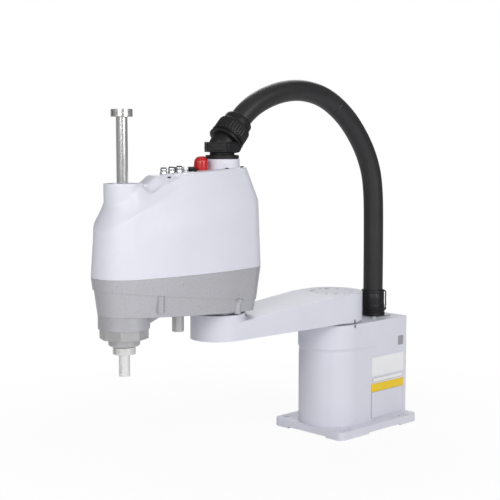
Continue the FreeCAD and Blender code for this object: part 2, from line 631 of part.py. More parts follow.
def quill():
    """Hollow spline shaft with its collars, the rotating spline nut, and what holds the nut."""
    length = "shaft_high - shaft_low"
    waist = "shaft_radius - relief_depth"
    tool = "shaft_low + tool_end"
    spline = "%s + relief_width" % tool
    rod = turned([("shaft_bore", "shaft_low"), ("shaft_radius", "shaft_low"), ("shaft_radius", tool), (waist, tool),
                  (waist, spline), ("shaft_radius", spline), ("shaft_radius", "shaft_high"),
                  ("shaft_bore", "shaft_high")], x=TOOL)
    grooves = []
    for x, y in around(SIZES["groove_count"], "shaft_radius", x=TOOL, start=45):
        grooves.append(cylinder("groove_radius", length, x, y, spline))
    flat = block("2 * tool_flat_depth", "2 * shaft_radius", "tool_flat_height",
                 "link_one + link_two + shaft_radius", "0", "shaft_low + tool_flat_low")
    node(cut(rod, flat, *grooves), "spline_shaft")
    for label, radius, low, high in (
            ("upper_collar", "collar_radius", "shaft_high - collar_height", "shaft_high"),
            ("lower_collar", "low_collar_radius", "low_collar_top - low_collar_height", "low_collar_top")):
        collar = ring("shaft_radius + seat", radius, low, high, x=TOOL)
        tall = "(%s) - (%s)" % (high, low)
        slit = block(radius, "clamp_gap", tall, "link_one + link_two + (%s) / 2" % radius, "0", low)
        reach = "2 * (%s - shaft_radius)" % radius
        screw_x = "link_one + link_two + (shaft_radius + %s) / 2" % radius
        screw_z = "(%s) + (%s) / 2" % (low, tall)
        tunnel = cylinder("screw_shank + screw_play", reach, screw_x, "(%s) / 2" % reach, screw_z, X_AXIS, 90)
        node(cut(collar, slit, tunnel), label)
        screw = cylinder("screw_shank", "%s - 2 * clamp_gap" % reach, screw_x, "(%s) / 2 - clamp_gap" % reach,
                         screw_z, X_AXIS, 90)
        node(screw, label + "_screw")
    play = "shaft_radius + shaft_play"
    low_ring = turned([(play, "ring_bottom"), ("ring_radius - ring_chamfer", "ring_bottom"),
                       ("ring_radius", "ring_bottom + ring_chamfer"), ("ring_radius", "retainer_bottom - gap"),
                       (play, "retainer_bottom - gap")], x=TOOL)
    node(low_ring, "spline_nut_ring")
    node(ring(play, "nut_radius", "retainer_bottom - gap", "nut_top", x=TOOL), "spline_nut")
    plate = ring("nut_radius + gap", "retainer_radius", "retainer_bottom", "boss_bottom", x=TOOL)
    octagon = doc.addObject("Part::Prism", "octagon")
    octagon.Polygon = 8
    bind(octagon, Circumradius="retainer_flat / cos(22.5)", Height="boss_bottom - retainer_bottom")
    put(octagon, TOOL, "0", "retainer_bottom")
    octagon.FirstAngle = 0
    places = around(SIZES["flange_screw_count"], "flange_screw_circle", x=TOOL)
    sunk = holes(places, "screw_head + screw_play", "retainer_bottom", "retainer_bottom + screw_sink")
    through = holes(places, "screw_shank + screw_play", "retainer_bottom", "boss_bottom")
    node(cut(common(plate, octagon), *sunk, *through), "retainer_flange")
    screws = cap_screws(places, "retainer_bottom + screw_sink", "screw_head", "screw_head_height", "screw_shank",
                        "boss_bottom - retainer_bottom - screw_sink", up=-1)
    node(screws, "retainer_screws")
    sleeve = ring("nut_radius + seat", "nut_radius + cast_wall - seat", "boss_bottom", "floor_top", x=TOOL)
    node(sleeve, "spline_nut_bearing")


def pulley(radius, bore, low, x, label):
    """A toothed belt pulley: a band with round tooth gaps between two thin rims."""
    count = round(2 * math.pi * worth(radius) / worth("belt_pitch"))
    gaps = holes(around(count, radius, x=x), "tooth_gap", low, "(%s) + belt_width" % low)
    rim = "(%s) + pulley_rim" % radius
    base = "(%s) - rim_height" % low
    top = "(%s) + belt_width + rim_height" % low
    band = turned([(bore, base), (rim, base), (rim, low), (radius, low), (radius, "(%s) + belt_width" % low),
                   (rim, "(%s) + belt_width" % low), (rim, top), (bore, top)], x=x)
    node(cut(band, *gaps), label)


def belt(low, place, label):
    """A toothed belt drawn as a closed band around a driven and a drive pulley."""
    bands = []
    for thick in ("gap + belt_thick", "gap"):
        body = new_body(x=TOOL, z=low, axis=Z_AXIS, angle=180)
        sketch = sketch_on(body, "XY_Plane")
        taper_outline(sketch, "driven_radius + %s" % thick, "drive_radius + %s" % thick, place)
        pad(body, sketch, "belt_width")
        bands.append(body)
    node(cut(bands[0], bands[1]), label)


def motor(x, low, half, length, label, spindle, spindle_length):
    """A square servo motor standing on its flange, with its spindle below."""
    flange = block("2 * (%s)" % half, "2 * (%s)" % half, "motor_chamfer", x, "0", low)
    can = block("2 * (%s) - motor_chamfer" % half, "2 * (%s) - motor_chamfer" % half, length, x, "0",
                "(%s) + motor_chamfer" % low)
    shaft = cylinder(spindle, spindle_length, x, "0", "(%s) - (%s)" % (low, spindle_length))
    return node(fuse(flange, can, shaft), label)


def head_drives():
    """Motors, mounting plates, belts and pulleys that drive the elbow, the lift and the roll."""
    motor(ELBOW, "floor_top", "motor_two_half", "motor_two_length", "j2_motor", "output_two_radius / 2 - gap",
          "floor_top - elbow_top - gap")
    node(cut(cylinder("output_two_radius", "bottom_rear - elbow_top + roof_thick - gap", ELBOW, "0",
                      "elbow_top + gap"),
             cylinder("output_two_radius / 2", "bottom_rear - elbow_top + roof_thick", ELBOW, "0", "elbow_top")),
         "j2_output_disc")
    stop = fuse(cylinder("stop_radius", "stop_length", "link_one + stop_place", "0",
                         "bottom_rear + cast_wall - stop_length"),
                cylinder("stop_radius / 2", "floor_top - bottom_rear - cast_wall", "link_one + stop_place", "0",
                         "bottom_rear + cast_wall"))
    node(stop, "j2_stop_pin")
    near = "link_one + link_two - plate_rear"
    slab = prism("XY_Plane", [(near, "-plate_half"), (near, "plate_half"), (TOOL, "plate_half"),
                              (TOOL, "-plate_half")], "plate_thick", z=PLATE_LOW)
    legs = []
    circle = "(driven_radius + belt_thick + leg_radius + 2 * gap)"
    for x, y in (("link_one + link_two + %s * cos(leg_turn)" % circle, "%s * sin(leg_turn)" % circle),
                 ("link_one + link_two - plate_rear + 2 * leg_radius", "(plate_half - 2 * leg_radius)")):
        for sign in ("", "-"):
            legs.append(cylinder("leg_radius", PLATE_LOW + " - floor_top", x, "%s%s" % (sign, y), "floor_top"))
    window = cylinder("ball_nut_radius + cast_wall", "plate_thick", TOOL, "0", PLATE_LOW)
    spindle_gap = cylinder("shaft_bore", "plate_thick", "link_one + link_two - motor_four_place", "0", PLATE_LOW)
    round_end = cylinder("plate_half", "plate_thick", TOOL, "0", PLATE_LOW)
    node(cut(fuse(slab, round_end, *legs), window, spindle_gap), "drive_plate")
    middle = "link_one + link_two - motor_three_place"
    shelf = block("2 * (motor_three_half + leg_radius)", "2 * (plate_half - leg_radius)", "plate_thick", middle,
                  "0", SHELF_LOW)
    posts = []
    for side in ("-", ""):
        for along in ("-", "+"):
            posts.append(cylinder("leg_radius", "%s - (%s)" % (SHELF_LOW, PLATE_TOP),
                                  "%s %s motor_three_half" % (middle, along),
                                  "%s(plate_half - 2 * leg_radius)" % side, PLATE_TOP))
    shaft_gap = cylinder("shaft_bore", "plate_thick", middle, "0", SHELF_LOW)
    node(cut(fuse(shelf, *posts), shaft_gap), "lift_motor_bracket")
    motor("link_one + link_two - motor_four_place", PLATE_TOP, "motor_three_half",
          "motor_three_length", "j4_motor", "shaft_bore - 2 * gap", "plate_thick + seat")
    motor(middle, SHELF_LOW + " + plate_thick", "motor_three_half", "motor_three_length", "j3_motor",
          "shaft_bore - 2 * gap", "plate_thick + seat")
    pulley("driven_radius", "shaft_radius + shaft_play", ROLL_BELT, TOOL, "roll_pulley")
    pulley("driven_radius", "ball_nut_radius + seat", LIFT_BELT, TOOL, "lift_pulley")
    for low, place, name in ((ROLL_BELT, "motor_four_place", "roll"), (LIFT_BELT, "motor_three_place", "lift")):
        pulley("drive_radius", "shaft_bore / 2", low, "link_one + link_two - " + place, name + "_drive_pulley")
        belt(low, place, name + "_belt")
    node(ring("shaft_radius + shaft_play", "ball_nut_radius", PLATE_TOP, "%s + ball_nut_length" % PLATE_TOP, x=TOOL),
         "ball_nut")
    node(ring("ball_nut_radius + seat", "bearing_radius", PLATE_TOP, "%s + bearing_height" % PLATE_TOP, x=TOOL),
         "ball_nut_bearing")


def above_platform():
    """Everything over the cover's sloping platform, to seat what stands on it."""
    behind = "link_one + link_two - spine_back"
    start = "link_one + link_two - platform_start"
    return prism("XZ_Plane", [(behind, "platform_rear"), (start, "platform_nose"), (start, "2 * platform_rear"),
                              (behind, "2 * platform_rear")], "4 * rear_radius", midplane=True)


def leaned(thing):
    """Stand a piece on the elbow's centre and lean it back towards the base."""
    put(thing, "link_one - duct_place", "0", "elbow_height", FreeCAD.Vector(0, -1, 0), 1)
    thing.setExpression("Placement.Rotation.Angle", tie("elbow_tilt"))
    return thing


def cable_outlet():
    """Duct, threaded ring, elbow and union nut where the hose leaves the top of the cover."""
    x = "link_one - duct_place"
    bore = "duct_radius - duct_wall"
    node(common(ring(bore, "duct_radius", "platform_nose", "duct_top", x=x), above_platform()), "cable_duct")
    throat = "duct_neck - duct_wall"
    ring_body = turned([(throat, "duct_top"), ("duct_ring", "duct_top"), ("duct_ring", "duct_ring_top"),
                        ("duct_neck", "duct_ring_top"), ("duct_neck", "hex_bottom"), (throat, "hex_bottom")], x=x)
    node(ring_body, "duct_lock_ring")
    hexagon = doc.addObject("Part::Prism", "hexagon")
    hexagon.Polygon = 6
    bind(hexagon, Circumradius="hex_radius", Height="hex_top - hex_bottom")
    put(hexagon, x, "0", "hex_bottom")
    bulb = common(fuse(ball("elbow_radius", x, "0", "elbow_height"), leaned(cylinder("elbow_radius", "nut_start"))),
                  block("4 * elbow_radius", "4 * elbow_radius", "4 * elbow_radius", x, "0", "hex_bottom"))
    clear = turned([("elbow_radius - seat", "nut_start"), ("nut_wide + seat", "nut_start"),
                    ("nut_wide + seat", "2 * nut_wide"), ("0", "2 * nut_wide"), ("0", "elbow_radius"),
                    ("elbow_radius - seat", "elbow_radius")])
    node(cut(fuse(hexagon, bulb), leaned(clear)), "hose_elbow")
    nut = new_body()
    leaned(nut)
    sketch = sketch_on(nut, "XZ_Plane")
    end = "nut_start + nut_length"
    socket = "%s - conduit_grip" % end
    inside = "elbow_radius + seat"
    shoulder = "%s - nut_grip" % end
    polygon(sketch, [("0", inside), (inside, inside), (inside, "nut_start + seat"), ("nut_wide", "nut_start + seat"),
                     ("nut_wide", "nut_start + nut_flange"), ("nut_waist", "nut_start + nut_flange"),
                     ("nut_waist", "nut_start + 1.5 * nut_flange"), ("nut_body", "nut_start + 1.5 * nut_flange"),
                     ("nut_body", shoulder), ("nut_narrow", shoulder), ("nut_narrow", end), ("hose_radius + gap", end),
                     ("hose_radius + gap", socket), ("0", socket)])
    spin = nut.newObject("PartDesign::Revolution", "spin")
    spin.Profile = sketch
    spin.ReferenceAxis = (sketch, ["V_Axis"])
    spin.Angle = 360
    flutes = leaned(fuse(*holes(around(SIZES["flute_count"], "nut_body + flute_radius / 2"), "flute_radius",
                                "nut_start + 1.5 * nut_flange", shoulder)))
    node(cut(nut, flutes), "hose_union_nut")


def deck(place):
    """Height of the sloping platform at a place counted from the elbow towards the tool."""
    run = "(link_two - (%s) - platform_start) / (spine_back - platform_start)" % place
    return "platform_nose + (platform_rear - platform_nose) * %s" % run


def head_equipment():
    """Lamp, brake release button, connector and air fittings on the cover's platform."""
    x = "link_one + lamp_place"
    top = "%s + lamp_foot" % deck("lamp_place")
    node(common(cylinder("lamp_radius + gap", "%s - platform_nose" % top, x, "0", "platform_nose"), above_platform()),
         "lamp_base")
    dome = fuse(cylinder("lamp_radius", "lamp_height - lamp_radius", x, "0", top),
                ball("lamp_radius", x, "0", "%s + lamp_height - lamp_radius" % top))
    keep = block("4 * lamp_radius", "4 * lamp_radius", "2 * lamp_height", x, "0", top)
    node(common(dome, keep), "lamp_lens")
    x = "link_one + button_place"
    level = deck("button_place")
    housing = common(block("2 * button_half", "2 * button_half", "%s - platform_nose + button_height" % level, x, "0",
                           "platform_nose"), above_platform())
    well = cylinder("button_radius + gap", "button_height", x, "0", "%s + button_floor" % level)
    node(cut(housing, well), "brake_button_housing")
    stem = "%s + button_floor + button_travel + gap" % level
    node(cylinder("button_radius", "button_height - button_floor - button_travel - gap + button_rise", x, "0", stem),
         "brake_button")
    port = common(block("port_length", "port_width", "%s - platform_nose + port_height" % deck("port_place"),
                        "link_one + port_place", "-port_side", "platform_nose"), above_platform())
    node(port, "head_connector")
    fittings = []
    for i in range(SIZES["fitting_count"]):
        x = "link_one + fitting_place - %d * fitting_pitch" % i
        body = cylinder("fitting_radius", "fitting_height - 2 * rim_height", x, "0", "platform_nose")
        collet = cylinder("fitting_radius - rim_height", "fitting_height + rim_height", x, "0", "platform_nose")
        bore = cylinder("fitting_radius / 2", "fitting_height / 2", x, "0",
                        "platform_nose + fitting_height / 2 + rim_height")
        fittings.append(common(cut(fuse(body, collet), bore), above_platform()))
    node(group(*fittings), "head_air_fittings")


def conduit_fitting():
    """Clamp plate and hose fitting on the roof of the base."""
    x = "-conduit_x"
    y = "conduit_y"
    plate = prism("XY_Plane", [("conduit_half", "-conduit_half"), ("conduit_half", "conduit_half"),
                               ("-conduit_half", "conduit_half"), ("-conduit_half", "-conduit_half")],
                  "conduit_plate", x=x, y=y, z="column_top")
    round_uprights(plate, "conduit_bore / 2")
    corner = "conduit_half - 2 * screw_shank"
    places = [("%s %s (%s)" % (x, a, corner), "%s %s (%s)" % (y, b, corner)) for a in "+-" for b in "+-"]
    clear = holes(places, "screw_shank + screw_play", "column_top", "column_top + conduit_plate")
    bore = cylinder("conduit_bore", "conduit_plate", x, y, "column_top")
    node(cut(plate, bore, *clear), "conduit_plate")
    screws = cap_screws(places, "column_top + conduit_plate", "screw_head", "conduit_screw_height", "screw_shank",
                        "conduit_plate - seat")
    node(screws, "conduit_plate_screws")
    low = "column_top + conduit_plate"
    step = "conduit_ring_height"
    slim = "conduit_radius - rim_height"
    outline = [("conduit_bore", low), ("conduit_radius", low), ("conduit_radius", "%s + %s" % (low, step)),
               ("conduit_ring", "%s + %s" % (low, step)), ("conduit_ring", "%s + 2 * %s" % (low, step)),
               (slim, "%s + 2 * %s" % (low, step)), (slim, "%s + 3 * %s" % (low, step)),
               ("conduit_radius", "%s + 3 * %s" % (low, step)), ("conduit_radius", "conduit_high - %s" % step),
               ("conduit_ring", "conduit_high - %s" % step), ("conduit_ring", "conduit_high"),
               ("hose_radius + gap", "conduit_high"), ("hose_radius + gap", "conduit_high - conduit_grip"),
               ("conduit_bore", "conduit_high - conduit_grip")]
    sleeve = turned(outline, x=x, y=y)
    node(sleeve, "conduit_fitting")
    latch = prism("XY_Plane", [("conduit_radius", "-conduit_latch_width / 2"),
                               ("conduit_radius + conduit_latch", "-conduit_latch_width / 2"),
                               ("conduit_radius + conduit_latch", "conduit_latch_width / 2"),
                               ("conduit_radius", "conduit_latch_width / 2")], "conduit_latch_height",
                  x=x, y=y, z="conduit_high - conduit_latch_height - conduit_grip / 2", axis=Z_AXIS, angle=135)
    node(latch, "conduit_latch")


def rear_panel():
    """Connector plate that closes the back of the base, with its screws and sockets."""
    outer = "-column_rear - panel_thick"
    plate = prism("YZ_Plane", [("-panel_half", "panel_low"), ("panel_half", "panel_low"),
                               ("panel_half", "panel_high"), ("-panel_half", "panel_high")], "panel_thick",
                  x=outer)
    round_uprights(plate, "panel_margin", X_AXIS)
    node(plate, "rear_panel")
    power = turned([("power_radius / 2", "0"), ("power_radius", "0"), ("power_radius", "power_length"),
                    ("power_radius - duct_wall", "power_length"), ("power_radius - duct_wall", "duct_wall"),
                    ("power_radius / 2", "duct_wall")],
                   x=outer, z="power_place", axis=Y_AXIS, angle=-90)
    node(power, "power_socket")
    signal = block("signal_depth", "signal_length", "signal_width", "%s - signal_depth / 2" % outer, "0",
                   "signal_place - signal_width / 2")
    recess = block("signal_depth / 2", "signal_length - 2 * duct_wall", "signal_width - 2 * duct_wall",
                   "%s - 3 * signal_depth / 4" % outer, "0", "signal_place - signal_width / 2 + duct_wall")
    node(cut(signal, recess), "signal_socket")
    fittings = []
    for side in (-1, 0, 1):
        fittings.append(turned([("fitting_radius / 2", "0"), ("fitting_radius", "0"),
                                ("fitting_radius", "fitting_height"), ("fitting_radius / 2", "fitting_height")],
                               x=outer, y="%d * panel_fitting_pitch" % side, z="panel_fitting_place",
                               axis=Y_AXIS, angle=-90))
    node(group(*fittings), "base_air_fittings")


# The hose's route by hand, from the union nut on the head to its middle, and on to the fitting on the base.
HOSE_RUN = 33
FROM_HEAD = [(212, 1.5, 686), (154, 3.5, 704.5), (95, 6, 708.7), (34, 8.5, 696)]
TO_BASE = [(-22, 11, 662.5), (-63, 13.5, 620.5), (-95, 15.5, 572), (-113, 17.3, 515), (-115, 18, 400)]


def hose():
    """The hose as two plain tubes that meet at the middle of one straight run."""
    tilt = math.radians(SIZES["elbow_tilt"])
    along = FreeCAD.Vector(-math.sin(tilt), 0, math.cos(tilt))
    reach = SIZES["nut_start"] + SIZES["nut_length"] - SIZES["conduit_grip"] + SIZES["seat"]
    start = FreeCAD.Vector(SIZES["link_one"] - SIZES["duct_place"], 0, SIZES["elbow_height"]) + along * reach
    foot = FreeCAD.Vector(-SIZES["conduit_x"], SIZES["conduit_y"], SIZES["conduit_high"] - SIZES["conduit_grip"])
    upper = [start, start + along * HOSE_RUN] + [FreeCAD.Vector(*point) for point in FROM_HEAD]
    lower = [FreeCAD.Vector(*point) for point in TO_BASE] + [foot]
    middle = (upper[-1] + lower[0]) * 0.5
    for label, runs in (("hose_upper", upper + [middle]), ("hose_lower", [middle] + lower)):
        edges = []
        at = runs[0]
        for before, corner, after in zip(runs, runs[1:], runs[2:]):
            into = (corner - before).normalize()
            out = (after - corner).normalize()
            turn = into.getAngle(out)
            full_before = (corner - before).Length * (2 if before == middle else 1)
            full_after = (after - corner).Length * (2 if after == middle else 1)
            trim = 0.45 * min(full_before, full_after)
            radius = trim / math.tan(turn / 2)
            print("%s turn %.1f radius %.0f" % (label, math.degrees(turn), radius))
            enter = corner - into * trim
            leave = corner + out * trim
            bulge = (out - into).normalize()
            crown = corner + bulge * (radius / math.cos(turn / 2) - radius)
            edges.append(Part.LineSegment(at, enter).toShape())
            edges.append(Part.Arc(enter, crown, leave).toShape())
            at = leave
        edges.append(Part.LineSegment(at, runs[-1]).toShape())
        path = Part.Wire(edges)
        circle = Part.makeCircle(SIZES["hose_radius"], runs[0], runs[1] - runs[0])
        tube = path.makePipeShell([Part.Wire(circle)], True, True)
        section = math.pi * SIZES["hose_radius"] ** 2
        print("%s volume over section times length %.5f" % (label, tube.Volume / (section * path.Length)))
        piece = doc.addObject("Part::Feature", label)
        piece.Shape = tube
        node(piece, label)


base_casting()
first_joint()
rear_panel()
conduit_fitting()
arm_one()
head_casting()
cover()
head_drives()
quill()
cable_outlet()
head_equipment()
hose()

doc.recompute()
failed = [thing.Label for thing in doc.Objects if "Invalid" in thing.State or "Error" in thing.State]
if failed:
    raise RuntimeError("not built: " + ", ".join(failed))
for piece in nodes:
    if piece.Shape.isNull() or not piece.Shape.isValid() or not piece.Shape.Solids:
        raise RuntimeError("bad shape: " + piece.Label)
os.makedirs("parts", exist_ok=True)
for piece in nodes:
    piece.Shape.exportStep("parts/%s.step" % piece.Label)
print(len(nodes), "nodes")
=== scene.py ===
"""Four axis SCARA robot: finishes, softened castings, moulded cover, hose, fittings and plates."""
import bmesh
import bpy
import json
import math
import numpy as np
from mathutils import Matrix, Vector


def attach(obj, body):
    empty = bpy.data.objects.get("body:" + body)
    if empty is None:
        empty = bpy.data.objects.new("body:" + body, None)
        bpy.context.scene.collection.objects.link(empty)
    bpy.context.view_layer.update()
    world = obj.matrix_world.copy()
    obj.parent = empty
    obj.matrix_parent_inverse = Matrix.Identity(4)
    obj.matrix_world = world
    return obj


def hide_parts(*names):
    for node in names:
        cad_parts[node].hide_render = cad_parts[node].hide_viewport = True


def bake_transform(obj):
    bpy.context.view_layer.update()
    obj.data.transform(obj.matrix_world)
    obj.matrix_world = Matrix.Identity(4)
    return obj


bl_info = {
    "name": "SCARA robot dressing",
    "version": (1, 0, 0),
    "blender": (4, 5, 0),
    "location": "View3D > Sidebar > Robot",
    "description": "Dresses the packed robot arm with its finishes and small pieces",
    "category": "Object",
}

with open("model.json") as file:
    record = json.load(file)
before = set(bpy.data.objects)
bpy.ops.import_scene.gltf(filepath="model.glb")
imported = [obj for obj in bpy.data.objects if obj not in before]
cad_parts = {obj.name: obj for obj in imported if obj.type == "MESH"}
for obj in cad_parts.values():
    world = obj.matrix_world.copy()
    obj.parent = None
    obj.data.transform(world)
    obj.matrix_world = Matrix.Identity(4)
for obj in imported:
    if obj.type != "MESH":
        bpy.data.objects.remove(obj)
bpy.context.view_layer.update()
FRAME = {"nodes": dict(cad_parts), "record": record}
MM = 0.001
TOOL_X = 0.55
# The cover's slanting crease: a point on it, its plane's normal and its fall along x. Metres.
CREASE_FOOT = (0.4494, 0.0, 0.5291)
CREASE_NORMAL = (0.4058, 0.0, 0.914)
CREASE_FALL = 0.444
# Where the cover's shoulder starts and ends along x, and its foot, from which it is cut finely. Metres.
SHOULDER_START = 0.425
SHOULDER_END = 0.592
SHOULDER_FOOT = 0.47
# The ledge round the column: its height, how far its slope rises and drops from there, the foot of the sweep
# below it, the column's half width and where the ledge fades out towards the back. Millimetres.
LEDGE_HEIGHT = 175.0
LEDGE_RISE = 4.5
LEDGE_DROP = 1.5
SWEEP_FOOT = 158.0
COLUMN_HALF = 70.0
COLUMN_FADE = 120.0
# The upright axis of the cable duct and of the elbow on it. Millimetres.
DUCT_X = 313.0


# Materials. Every builder returns a node material on Object coordinates; the hose's reads its own map too.

def new_finish(name):
    """An empty material with a principled shader, and its nodes, links and shader."""
    material = bpy.data.materials.new(name)
    material.use_nodes = True
    nodes = material.node_tree.nodes
    return material, nodes, material.node_tree.links, nodes["Principled BSDF"]


def object_space(nodes, links, stretch=(1.0, 1.0, 1.0)):
    """Object coordinates, stretched along each axis."""
    place = nodes.new("ShaderNodeTexCoord")
    mapping = nodes.new("ShaderNodeMapping")
    mapping.inputs["Scale"].default_value = stretch
    links.new(place.outputs["Object"], mapping.inputs["Vector"])
    return mapping.outputs["Vector"]


def grain(nodes, links, where, scale, detail=4.0, roughness=0.6):
    """Noise at a stated scale, in cells per metre."""
    noise = nodes.new("ShaderNodeTexNoise")
    noise.inputs["Scale"].default_value = scale
    noise.inputs["Detail"].default_value = detail
    noise.inputs["Roughness"].default_value = roughness
    links.new(where, noise.inputs["Vector"])
    return noise.outputs["Fac"]


def spread(nodes, links, value, low, high, start=0.3, end=0.7):
    """Map noise to a range of values."""
    ranged = nodes.new("ShaderNodeMapRange")
    for socket, number in (("From Min", start), ("From Max", end), ("To Min", low), ("To Max", high)):
        ranged.inputs[socket].default_value = number
    links.new(value, ranged.inputs["Value"])
    return ranged.outputs["Result"]


def tint(nodes, links, value, first, second):
    """Blend two colours by a value."""
    mix = nodes.new("ShaderNodeMix")
    mix.data_type = "RGBA"
    mix.inputs["A"].default_value = (*first, 1.0)
    mix.inputs["B"].default_value = (*second, 1.0)
    links.new(value, mix.inputs["Factor"])
    return mix.outputs["Result"]


def relief(nodes, links, shader, height, strength, distance):
    """Bump the surface by a height."""
    bump = nodes.new("ShaderNodeBump")
    bump.inputs["Strength"].default_value = strength
    bump.inputs["Distance"].default_value = distance
    links.new(height, bump.inputs["Height"])
    links.new(bump.outputs["Normal"], shader.inputs["Normal"])


def shade(colour, factor):
    """A lighter or darker copy of a colour."""
    return tuple(min(1.0, channel * factor) for channel in colour)


def sprayed_paint(name, colour, gloss, pebble=0.00004, coat=0.0, flake=0.0):
    """Sprayed paint with a fine orange peel, slight cloudiness and, where asked, metal flake."""
    material, nodes, links, shader = new_finish(name)
    where = object_space(nodes, links)
    cloud = spread(nodes, links, grain(nodes, links, where, 9.0, 3.0), 0.0, 1.0)
    paint = tint(nodes, links, cloud, shade(colour, 0.975), shade(colour, 1.02))
    links.new(paint, shader.inputs["Base Color"])
    peel = grain(nodes, links, where, 900.0, 2.0)
    links.new(spread(nodes, links, peel, gloss - 0.04, gloss + 0.05), shader.inputs["Roughness"])
    relief(nodes, links, shader, peel, 0.35, pebble)
    shader.inputs["Metallic"].default_value = flake
    shader.inputs["Coat Weight"].default_value = coat
    shader.inputs["Coat Roughness"].default_value = 0.25
    return material


def moulded_nylon(name, colour, gloss):
    """Dark moulded plastic with a fine spark-eroded texture."""
    material, nodes, links, shader = new_finish(name)
    where = object_space(nodes, links)
    texture = grain(nodes, links, where, 2200.0, 3.0)
    speckle = tint(nodes, links, texture, shade(colour, 0.75), shade(colour, 1.35))
    links.new(speckle, shader.inputs["Base Color"])
    handling = grain(nodes, links, where, 60.0, 5.0)
    links.new(spread(nodes, links, handling, gloss - 0.06, gloss + 0.1), shader.inputs["Roughness"])
    relief(nodes, links, shader, texture, 0.5, 0.00006)
    shader.inputs["Specular IOR Level"].default_value = 0.35
    return material


def hose_rubber(name, colour):
    """Smooth extruded hose with faint drawing lines along its length and dusty patches."""
    material, nodes, links, shader = new_finish(name)
    along = nodes.new("ShaderNodeAttribute")
    along.attribute_name = "hose_way"
    mapping = nodes.new("ShaderNodeMapping")
    mapping.inputs["Scale"].default_value = (6.0, 160.0, 1.0)
    links.new(along.outputs["Vector"], mapping.inputs["Vector"])
    lines = grain(nodes, links, mapping.outputs["Vector"], 1.0, 3.0)
    where = object_space(nodes, links)
    dust = spread(nodes, links, grain(nodes, links, where, 28.0, 6.0, 0.7), 0.0, 1.0, 0.45, 0.8)
    links.new(tint(nodes, links, dust, colour, shade(colour, 1.5)), shader.inputs["Base Color"])
    links.new(spread(nodes, links, lines, 0.36, 0.5), shader.inputs["Roughness"])
    relief(nodes, links, shader, lines, 0.25, 0.00008)
    return material


def turned_steel(name, colour, gloss, stretch, scale=60.0):
    """Bare metal with tool marks that run one way."""
    material, nodes, links, shader = new_finish(name)
    shader.inputs["Metallic"].default_value = 1.0
    where = object_space(nodes, links, stretch)
    marks = grain(nodes, links, where, scale, 5.0)
    metal = tint(nodes, links, marks, shade(colour, 0.92), shade(colour, 1.06))
    links.new(metal, shader.inputs["Base Color"])
    links.new(spread(nodes, links, marks, gloss - 0.04, gloss + 0.06), shader.inputs["Roughness"])
    relief(nodes, links, shader, marks, 0.08, 0.00001)
    return material


def glossy_moulding(name, colour, gloss, glow=0.0):
    """Clear or bright gloss plastic with faint flow marks."""
    material, nodes, links, shader = new_finish(name)
    where = object_space(nodes, links, (1.0, 1.0, 0.3))
    flow = grain(nodes, links, where, 90.0, 3.0)
    links.new(tint(nodes, links, flow, shade(colour, 0.85), shade(colour, 1.2)), shader.inputs["Base Color"])
    links.new(spread(nodes, links, flow, gloss - 0.03, gloss + 0.05), shader.inputs["Roughness"])
    shader.inputs["Subsurface Weight"].default_value = glow
    shader.inputs["Subsurface Radius"].default_value = (0.004, 0.001, 0.001)
    shader.inputs["Coat Weight"].default_value = 0.3
    return material


def build_finishes(look):
    """Every finish on the robot by its plain name."""
    white = tuple(look.cover_colour)
    grey = tuple(look.casting_colour)
    return {
        "cover_paint": sprayed_paint("cover_paint", white, look.cover_roughness, coat=0.15),
        "arm_paint": sprayed_paint("arm_paint", shade(white, 0.985), 0.4, 0.00006),
        "casting_paint": sprayed_paint("casting_paint", grey, 0.3, 0.00002, flake=0.7),
        "plate_white": sprayed_paint("plate_white", (0.93, 0.93, 0.94), 0.3, 0.00001, coat=0.3),
        "plate_yellow": sprayed_paint("plate_yellow", (0.93, 0.64, 0.0), 0.32, 0.00001, coat=0.3),
        "plate_grey": sprayed_paint("plate_grey", (0.34, 0.34, 0.36), 0.35, 0.00001, coat=0.2),
        "mark_paint": sprayed_paint("mark_paint", (0.03, 0.03, 0.035), 0.5, 0.00001),
        "black_nylon": moulded_nylon("black_nylon", tuple(look.nylon_colour), 0.42),
        "hose_rubber": hose_rubber("hose_rubber", tuple(look.hose_colour)),
        "belt_rubber": moulded_nylon("belt_rubber", (0.02, 0.02, 0.02), 0.7),
        "ground_steel": turned_steel("ground_steel", (0.93, 0.93, 0.92), 0.22, (1.0, 1.0, 0.04), 900.0),
        "turned_steel": turned_steel("turned_steel", (0.58, 0.58, 0.58), 0.32, (0.05, 0.05, 1.0), 900.0),
        "machined_aluminium": turned_steel("machined_aluminium", (0.76, 0.76, 0.78), 0.35, (1.0, 1.0, 0.2),
                                           500.0),
        "zinc_plate": turned_steel("zinc_plate", (0.66, 0.67, 0.7), 0.3, (1.0, 0.2, 1.0), 400.0),
        "nickel_plate": turned_steel("nickel_plate", (0.86, 0.85, 0.83), 0.24, (1.0, 1.0, 1.0), 300.0),
        "black_oxide": turned_steel("black_oxide", (0.05, 0.05, 0.055), 0.4, (1.0, 1.0, 1.0), 700.0),
        "lamp_red": glossy_moulding("lamp_red", tuple(look.lamp_colour), 0.3, 0.2),
        "button_cap": glossy_moulding("button_cap", (0.05, 0.05, 0.055), 0.3),
    }


